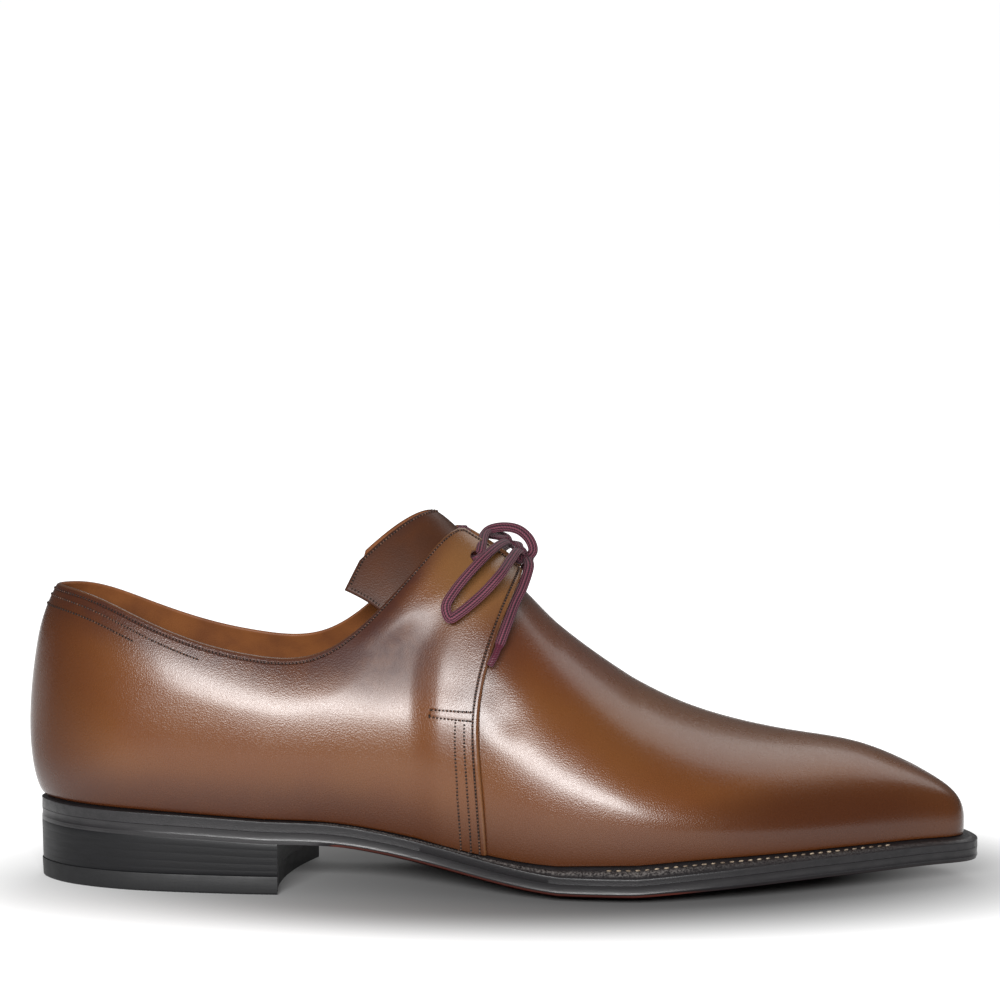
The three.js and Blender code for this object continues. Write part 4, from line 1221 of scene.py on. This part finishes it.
def ribbon(name, route, facing, width=lace_width, thickness=lace_thickness, finish_rows=None):
    tube = ribbon_points(route, facing, width, thickness)
    caps = np.repeat(route[[0, -1]][:, None], len(section_steps), axis=1)
    tube = np.concatenate([caps[:1], tube, caps[1:]])
    run = np.concatenate([[0], np.cumsum(np.linalg.norm(np.diff(route, axis=0), axis=-1))])
    run = np.concatenate([run[:1], run, run[-1:]])
    across = np.broadcast_to(np.cos(section_steps) / 2 + 0.5, tube.shape[:2])
    marks = {"across": across, "along": np.broadcast_to(run[:, None], tube.shape[:2])}
    cut = len(tube) if finish_rows is None else finish_rows
    sheets = [{"points": tube[:cut], "marks": {k: v[:cut] for k, v in marks.items()}}]
    if cut < len(tube):
        rest = {k: v[cut - 1:] for k, v in marks.items()}
        sheets.append({"points": tube[cut - 1:], "finish": 1, "marks": rest})
    return make_piece(name, sheets, [lace_cotton, aglet_film], 60)


def shoe_facing(route, side):
    """Away from the shoe: outwards and up, more upright near the top line."""
    lean = np.clip((knot_middle[2] - route[:, 2]) / (30 * mm), 0, 1)
    return np.stack([0 * lean, -side * (0.75 + 0.2 * lean), 0.65 - 0.35 * lean], axis=-1)


# %% Loops and ends
lace_pieces = {}
for side, label in ((1, "outer"), (-1, "inner")):
    route = lace_route(loop_line, loop_reach, side, 90)
    lace_pieces["loop_" + label] = (ribbon("lace_bow_" + label, route, shoe_facing(route, side)), route)
    route = lace_route(end_line, end_reach, side, 70)
    run = np.linspace(0, 1, len(route))
    aglet = ease((run - 0.80) / 0.03)
    piece = ribbon("lace_tip_" + label, route, shoe_facing(route, side),
                   lerp(lace_width, 2.3 * mm, aglet), lerp(lace_thickness, 1.5 * mm, aglet), 58)
    lace_pieces["end_" + label] = (piece, route)

# %% [markdown]
# ## The lace under the facings and the knot
# Between the eyelets the lace crosses the tongue unseen. The near half shows where it leaves
# its eyelet and turns over the facing's edge, and then as an arch that comes down behind the
# knot. The knot is a short wrap of the same flat cord over a rounded core.

# %% Eyelets
eyelet_share = (-0.0335, -0.0335, 0.985)


def eyelet_frame(inner):
    place, height = drawn_at(*eyelet_share, inner)
    at = mirrored(place, inner)
    normal = last_normal(at, height)[0]
    inside, outside = quarter_layers(place, height, height / top_height(place, inner), inner)
    step = np.linalg.norm(last_point(at, height + nudge) - last_point(at, height)) / nudge
    return {"at": at, "height": height, "normal": normal, "inside": inside[0], "outside": outside[0],
            "step": step}


eyelets = [eyelet_frame(False), eyelet_frame(True)]


def on_facing(frame_at, run, offset, lean, side):
    height = frame_at["height"] + run / frame_at["step"]
    return skin(frame_at["at"] + lean * side, height, np.array([offset]))[0]


for number, eyelet in enumerate(eyelets):
    middle = on_facing(eyelet, 0, (eyelet["inside"] + eyelet["outside"]) / 2, 0, 1)
    bpy.ops.mesh.primitive_cylinder_add(vertices=28, radius=eyelet_bore / 2, depth=8 * mm, location=middle)
    punch = bpy.context.object
    punch.name = "punch_" + str(number)
    punch.rotation_mode = "QUATERNION"
    punch.rotation_quaternion = Vector(eyelet["normal"]).to_track_quat("Z", "Y")
    cut = quarters.modifiers.new("eyelet", "BOOLEAN")
    cut.operation, cut.solver, cut.object = "DIFFERENCE", "EXACT", punch
eyelet_copy = bpy.data.meshes.new_from_object(quarters.evaluated_get(bpy.context.evaluated_depsgraph_get()))
quarters.modifiers.clear()
quarters.data = eyelet_copy
for punch in [o for o in bpy.data.objects if o.name.startswith("punch_")]:
    bpy.data.objects.remove(punch)
print("quarters with eyelets:", len(quarters.data.polygons), "faces")

# %% Bar of the lace
under_offset = -wall - tongue_gap + clearance + lace_thickness / 2 + 0.3 * mm
arch = np.array([(-5.3, 3.0, 115.3), (-0.5, 4.0, 116.2), (4.6, 4.6, 115.2), (8.2, 4.6, 112.0),
                 (9.4, 4.2, 108.2), (7.4, 3.2, 105.6)]) * mm


def lace_half(frame_at, side):
    turn = eyelet_bore / 2
    inside, outside = frame_at["inside"], frame_at["outside"]
    route = [on_facing(frame_at, run * mm, under_offset, 0, side) for run in (19, 14, 8)]
    route += [on_facing(frame_at, 1.2 * mm, inside - 1.2 * mm, 0, side)]
    route += [on_facing(frame_at, 0.2 * mm, (inside + outside) / 2, 0, side)]
    route += [on_facing(frame_at, 0.9 * mm, outside + 1.0 * mm, 0.01, side)]
    route += [on_facing(frame_at, 4.0 * mm, outside + 0.9 * mm, 0.03, side)]
    return route


near_half, far_half = lace_half(eyelets[0], 1), lace_half(eyelets[1], -1)
far_over = [knot_middle + np.array([-3.0, 3.0, 3.0]) * mm]
bar_route = catmull(list(reversed(far_over)) + far_half[::-1] + near_half + list(arch), 260)
run = np.linspace(0, 1, len(bar_route))
arch_share = ease((run - 0.66) / 0.12)
bar_facing = np.stack([-0.3 * arch_share, -0.8 * arch_share - 0.2, 1 - 0.45 * arch_share], axis=-1)
lace_bar = ribbon("lace_crossing", bar_route, bar_facing)
print("lace bar:", round(cord_length(bar_route), 4), "m")

# %% Knot
wrap_middle = knot_middle + np.array([1.4, 0.2, -2.2]) * mm


def knot_wrap():
    turns = np.linspace(0, 2 * math.pi, 49)
    core = 2.2 * mm
    route = wrap_middle + np.stack([core * 0.85 * np.cos(turns), 0.6 * mm * np.sin(turns),
                                    core * np.sin(turns)], axis=-1)
    facing = route - wrap_middle
    return ribbon_points(route, facing, 4.2 * mm, 1.4 * mm)


wrap = knot_wrap()
across = np.broadcast_to(np.cos(section_steps) / 2 + 0.5, wrap.shape[:2])
along = np.broadcast_to(np.linspace(0, 18 * mm, len(wrap))[:, None], wrap.shape[:2])
u, v = np.linspace(0, 2 * math.pi, 33)[:, None], np.linspace(-math.pi / 2, math.pi / 2, 17)[None, :]
core = wrap_middle + np.stack([2.6 * mm * np.cos(u) * np.cos(v), 3.0 * mm * np.sin(u) * np.cos(v),
                               2.6 * mm * np.sin(v) + 0 * u], axis=-1)
knot = make_piece("lace_knot_wrap", [
    {"points": wrap, "marks": {"across": across, "along": along}},
    {"points": core, "marks": {"across": (u + 0 * v) / 2, "along": (v + 0 * u) * 3 * mm}},
], [lace_cotton], 60)

# %% [markdown]
# ## Stitches by Geometry Nodes
# A row of stitches follows a line on the leather. One tree serves all rows: it walks along
# the line at even steps, puts a small grain-shaped thread at each step, turned along the
# line, and makes the copies real. The rows themselves are read off the grid of the quarters
# at set distances from its edges.

# %% Stitch tree
def stitch_tree():
    tree = bpy.data.node_groups.new("stitches", "GeometryNodeTree")
    tree.interface.new_socket("Geometry", in_out="OUTPUT", socket_type="NodeSocketGeometry")
    tree.interface.new_socket("Geometry", in_out="INPUT", socket_type="NodeSocketGeometry")
    for name in ("Spacing", "Length", "Width", "Tilt"):
        tree.interface.new_socket(name, in_out="INPUT", socket_type="NodeSocketFloat")
    tree.interface.new_socket("Thread", in_out="INPUT", socket_type="NodeSocketMaterial")
    add, link = tree.nodes.new, tree.links.new
    given, result = add("NodeGroupInput"), add("NodeGroupOutput")
    curve, resample = add("GeometryNodeMeshToCurve"), add("GeometryNodeResampleCurve")
    resample.mode = "LENGTH"
    steps, grain = add("GeometryNodeCurveToPoints"), add("GeometryNodeMeshUVSphere")
    steps.mode = "EVALUATED"
    grain.inputs["Segments"].default_value, grain.inputs["Rings"].default_value = 6, 5
    grain.inputs["Radius"].default_value = 1
    size, shape = add("ShaderNodeCombineXYZ"), add("GeometryNodeTransform")
    half_length, half_width = add("ShaderNodeMath"), add("ShaderNodeMath")
    turn, wobble = add("FunctionNodeAlignRotationToVector"), add("FunctionNodeRandomValue")
    turn.axis = "X"
    wobble.data_type = "FLOAT_VECTOR"
    wobble.inputs["Seed"].default_value = 11
    low, high = add("ShaderNodeCombineXYZ"), add("ShaderNodeCombineXYZ")
    minus = add("ShaderNodeMath")
    rotate = add("FunctionNodeRotateRotation")
    rotate.rotation_space = "LOCAL"
    copies, real, paint_it = (add("GeometryNodeInstanceOnPoints"), add("GeometryNodeRealizeInstances"),
                              add("GeometryNodeSetMaterial"))
    smooth = add("GeometryNodeSetShadeSmooth")
    for node, name in ((half_length, "Length"), (half_width, "Width")):
        node.operation = "MULTIPLY"
        node.inputs[1].default_value = 0.5
        link(given.outputs[name], node.inputs[0])
    link(given.outputs["Geometry"], curve.inputs["Mesh"])
    link(curve.outputs["Curve"], resample.inputs["Curve"])
    link(given.outputs["Spacing"], resample.inputs["Length"])
    link(resample.outputs["Curve"], steps.inputs["Curve"])
    link(half_length.outputs[0], size.inputs[0])
    link(half_width.outputs[0], size.inputs[1])
    link(half_width.outputs[0], size.inputs[2])
    link(grain.outputs["Mesh"], shape.inputs["Geometry"])
    link(size.outputs[0], shape.inputs["Scale"])
    link(steps.outputs["Tangent"], turn.inputs["Vector"])
    minus.operation = "MULTIPLY"
    minus.inputs[1].default_value = -1
    link(given.outputs["Tilt"], minus.inputs[0])
    for i in range(3):
        link(minus.outputs[0], low.inputs[i])
        link(given.outputs["Tilt"], high.inputs[i])
    link(low.outputs[0], wobble.inputs[0])
    link(high.outputs[0], wobble.inputs[1])
    link(turn.outputs["Rotation"], rotate.inputs["Rotation"])
    link(wobble.outputs[0], rotate.inputs["Rotate By"])
    link(steps.outputs["Points"], copies.inputs["Points"])
    link(shape.outputs["Geometry"], copies.inputs["Instance"])
    link(rotate.outputs["Rotation"], copies.inputs["Rotation"])
    link(copies.outputs["Instances"], real.inputs["Geometry"])
    link(real.outputs["Geometry"], smooth.inputs["Geometry"])
    link(smooth.outputs["Geometry"], paint_it.inputs["Geometry"])
    link(given.outputs["Thread"], paint_it.inputs["Material"])
    link(paint_it.outputs["Geometry"], result.inputs["Geometry"])
    return tree


stitches = stitch_tree()
stitch_socket = {item.name: item.identifier for item in stitches.interface.items_tree
                 if item.in_out == "INPUT"}


def resampled(line, spacing, start):
    run = np.concatenate([[0], np.cumsum(np.linalg.norm(np.diff(line, axis=0), axis=-1))])
    at = np.arange(start, run[-1], spacing / 2)
    return np.stack([np.interp(at, run, line[:, k]) for k in range(3)], axis=-1)


def sew(name, rows, spacing, length, width, thread, tilt=0.12, start=0.0):
    """Stitches along the rows, as one plain mesh."""
    points, edges = [], []
    for row in rows:
        row = resampled(np.asarray(row), spacing, start)
        edges += [(len(points) + i, len(points) + i + 1) for i in range(len(row) - 1)]
        points += row.tolist()
    lines = bpy.data.meshes.new(name + "_lines")
    lines.from_pydata(points, edges, [])
    guide = bpy.data.objects.new(name + "_guide", lines)
    bpy.context.scene.collection.objects.link(guide)
    modifier = guide.modifiers.new("stitches", "NODES")
    modifier.node_group = stitches
    for key, value in (("Spacing", spacing), ("Length", length), ("Width", width), ("Tilt", tilt),
                       ("Thread", thread)):
        modifier[stitch_socket[key]] = value
    made = bpy.data.meshes.new_from_object(guide.evaluated_get(bpy.context.evaluated_depsgraph_get()))
    guide.modifiers.clear()
    bpy.data.objects.remove(guide)
    piece = bpy.data.objects.new(name, made)
    bpy.context.scene.collection.objects.link(piece)
    print(name, "rows:", len(rows), "faces:", len(made.polygons))
    return piece


# %% Thread finishes
def thread(name, light, dark, rough=0.6):
    finish = Finish(name, Specular_IOR_Level=0.4)
    colour = finish.mix(finish.smooth(finish.noise(1.5 * mm, 2), 0.35, 0.65), dark, light)
    return finish.dress(Base_Color=colour, Roughness=rough)


brown_thread = thread("brown_thread", paint(96, 66, 50), paint(58, 36, 28))
# painted shade: near-black grains stand for the shade inside the needle holes
hole_shade = thread("needle_hole_shade", paint(26, 15, 10), paint(20, 12, 8), 0.9)
pale_thread = thread("pale_thread", paint(158, 142, 122), paint(96, 82, 68))

# %% Rows on the quarters
def across_value(points, distance, value, axis):
    """For each line of a grid, the point where the distance reaches a value."""
    if axis == 0:
        points, distance = points.transpose(1, 0, 2), distance.T
    out = []
    for line, run in zip(points, distance):
        order = np.argsort(run)
        out.append([np.interp(value, run[order], line[order, k]) for k in range(3)])
    return np.array(out)


def quarter_rows(side):
    points, marks = side["outer"], side["marks"]
    top_row = across_value(points, marks["from_top"], row_from_edge, 1)
    seam_row = across_value(points, marks["from_seam"], row_from_edge, 0)
    seam_top = across_value(points, marks["from_top"], row_from_edge, 1)
    start = np.argmax(marks["from_seam"][:, -8] > row_from_edge)
    stop = np.argmax(marks["from_top"][6, :] < row_from_edge)
    return np.concatenate([seam_row[2:stop], seam_top[start:]]), top_row


outer_row = quarter_rows(quarter_sides[0])[0]
inner_row = quarter_rows(quarter_sides[1])[0]
rows = [outer_row, inner_row]


def side_row(side, from_seam, low, high):
    """A row at a distance from the side seam, between two heights above the floor."""
    line = across_value(side["outer"], side["marks"]["from_seam"], from_seam, 0)
    return line[(line[:, 2] > low) & (line[:, 2] < high)]


def side_spot(side, from_seam, z):
    line = across_value(side["outer"], side["marks"]["from_seam"], from_seam, 0)
    return np.array([np.interp(z, line[:60, 2], line[:60, k]) for k in range(3)])


for side in quarter_sides:
    rows.append(side_row(side, 5.0 * mm, 0, bar_low))
    rows.append(side_row(side, 8.5 * mm, 0, bar_low))
    runs = np.linspace(*bar_ends, 12)
    for z, droop in ((bar_high, bar_droop[1]), (bar_low, bar_droop[0])):
        share = (runs - bar_ends[0]) / (bar_ends[1] - bar_ends[0])
        rows.append(np.array([side_spot(side, run, z + droop * t) for run, t in zip(runs, share)]))
    rows.append(np.array([side_spot(side, bar_ends[1], z)
                          for z in np.linspace(bar_low + bar_droop[0], bar_high + bar_droop[1], 5)]))

# below the collar at the back: distance from the top edge there, and how far forward it runs
for drop_back, drop_end, end_x in ((4.0 * mm, 5.6 * mm, -99 * mm), (7.3 * mm, 8.2 * mm, -120 * mm)):
    for side in quarter_sides:
        line = []
        for points, run in zip(side["outer"], side["marks"]["from_top"]):
            share = np.clip((points[-1, 0] + 157 * mm) / (end_x + 157 * mm), 0, 1)
            drop = lerp(drop_back, drop_end, share)
            line.append([np.interp(drop, run[::-1], points[::-1, k]) for k in range(3)])
        line = np.array(line)
        rows.append(line[line[:, 0] < end_x])

quarter_stitches = sew("quarter_stitches", rows, 1.15 * mm, 0.80 * mm, 0.65 * mm, brown_thread)
# dark grains between the stitches: painted shade of the needle holes
quarter_holes = sew("quarter_needle_holes", rows, 1.15 * mm, 0.62 * mm, 0.80 * mm, hole_shade, 0,
                    0.575 * mm)

# %% Rows on the tongue and the welt
def inset_row(points, distance_side, from_last, depth):
    lines = across_value(points, run_lengths(points, 0, True), depth, 0)
    keep = (distance_side > depth)
    return lines[keep]


tongue_top_row = inset_row(tongue_outer, tongue_sides[-8], True, 1.8 * mm)
left_run, right_run = run_lengths(tongue_outer, 1), run_lengths(tongue_outer, 1, True)
down = run_lengths(tongue_outer, 0, True)[:, 0] > 1.8 * mm
tongue_rows = [across_value(tongue_outer, left_run, 1.8 * mm, 1)[down], tongue_top_row,
               across_value(tongue_outer, right_run, 1.8 * mm, 1)[down]]
tongue_stitches = sew("tongue_stitches", tongue_rows, 1.15 * mm, 0.80 * mm, 0.65 * mm, brown_thread)
# dark grains between the stitches: painted shade of the needle holes
tongue_holes = sew("tongue_needle_holes", tongue_rows, 1.15 * mm, 0.62 * mm, 0.80 * mm, hole_shade, 0,
                   0.575 * mm)

sewn = (edge_x(welt_places) > 34 * mm) & (edge_x(welt_places) < 128 * mm) & (welt_places < toe_rib)
sewn_inner = (edge_x(welt_places) > 34 * mm) & (edge_x(welt_places) < 128 * mm) & (welt_places > toe_rib)
welt_rows = [welt_top[7][part] + np.array([0, 0, 0.12 * mm]) for part in (sewn, sewn_inner)]
welt_stitches = sew("welt_stitches", welt_rows, 3.0 * mm, 1.8 * mm, 0.6 * mm, pale_thread, 0.05)

# %% [markdown]
# ## Every piece rides on the shoe
# The shoe has one body. Each fine mesh stands for the solid that it was made from. The length
# of each loop and end is printed.

# %% Rides and the lengths of the lace
finish_piece(quarters, "upper_leather", "upper")
finish_piece(vamp, "upper_leather", "upper")
finish_piece(tongue, "tongue_leather", "tongue")
finish_piece(insole, "lining_leather", "insole")
finish_piece(welt, "dyed_edge", "welt")
finish_piece(outsole, "sole_leather", "outsole")
finish_piece(heel_stack, "dyed_edge", "heel_stack")
finish_piece(top_piece, "heel_rubber", "heel_top_piece")
finish_piece(lace_bar, "lace_cotton", "lace_bar")
finish_piece(knot, "lace_cotton", "lace_knot")
for piece in (quarter_stitches, quarter_holes, tongue_stitches, tongue_holes, welt_stitches):
    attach(piece, "root")
for key, (piece, route) in lace_pieces.items():
    finish_piece(piece, "lace_cotton", "lace_" + key)
    extra = [knot] if key == "loop_outer" else []
    print(key, "length:", round(cord_length(route) * 1000, 1), "mm")

# %% [markdown]
# ## Floor and light
# A pale floor with a painted shadow under the shoe that glows further out, one wide soft
# light above the camera for the long highlights on the side, a large one from above and
# behind for the sheen along the top line, and a pale world.

# %% Floor
floor_mesh = bpy.data.meshes.new("floor")
floor_half, floor_front, floor_back = 4.0, 0.4, 16.0
floor_mesh.from_pydata([(-floor_half, -floor_front, 0), (floor_half, -floor_front, 0),
                        (floor_half, floor_back, 0), (-floor_half, floor_back, 0)], [], [(0, 1, 2, 3)])
floor = bpy.data.objects.new("floor", floor_mesh)
bpy.context.scene.collection.objects.link(floor)
floor_finish = Finish("floor_paper_glow_painted_shadow", Roughness=0.9, Specular_IOR_Level=0.1, Emission_Strength=1.0)
x, y, z = floor_finish.axes()
# painted light: the floor glows, but not near the shoe nor beside it towards the front, so it reads white with soft
# shade round the shoe
far = floor_finish.math("SQRT", (x / 0.25) * (x / 0.25) + (y / 0.135) * (y / 0.135))
beside = floor_finish.smooth(floor_finish.math("ABSOLUTE", x), 0.2, 0.32)
beside = beside * (1 - floor_finish.smooth(y, 0.0, 0.3))
lit = floor_finish.smooth(far, 0.42, 1.0) * (1 - beside)
# painted shadow: the floor's colour is darker in an ellipse under the shoe
under = floor_finish.blob((x, y), (0.06, 0.0), (0.2, 0.14))
paper_and_painted_shadow = floor_finish.mix(under, (0.72, 0.72, 0.72, 1), (0.2, 0.2, 0.2, 1))
glow = floor_finish.mix(lit, (0, 0, 0, 1), (0.9, 0.9, 0.9, 1))
floor_mesh.materials.append(floor_finish.dress(Base_Color=paper_and_painted_shadow, Emission_Color=glow))


# %% Lights
def soft_light(name, place, target, width, depth, power):
    data = bpy.data.lights.new(name, "AREA")
    data.shape, data.size, data.size_y, data.energy = "RECTANGLE", width, depth, power
    lamp = bpy.data.objects.new(name, data)
    bpy.context.scene.collection.objects.link(lamp)
    lamp.location = place
    lamp.rotation_euler = (Vector(target) - Vector(place)).to_track_quat("-Z", "Y").to_euler()
    return lamp


shoe_middle = (0, 0, 0.05)
soft_light("front_box", (-0.23, -1.68, 0.62), shoe_middle, 1.0, 0.34, 42)
soft_light("top_box", (0.50, 0.85, 1.35), shoe_middle, 1.7, 0.9, 10)
world = bpy.data.worlds.new("studio")
bpy.context.scene.world = world
world.use_nodes = True
world.node_tree.nodes["Background"].inputs["Color"].default_value = (1, 1, 1, 1)
world.node_tree.nodes["Background"].inputs["Strength"].default_value = 0.15
bpy.context.scene.view_settings.view_transform = "Standard"
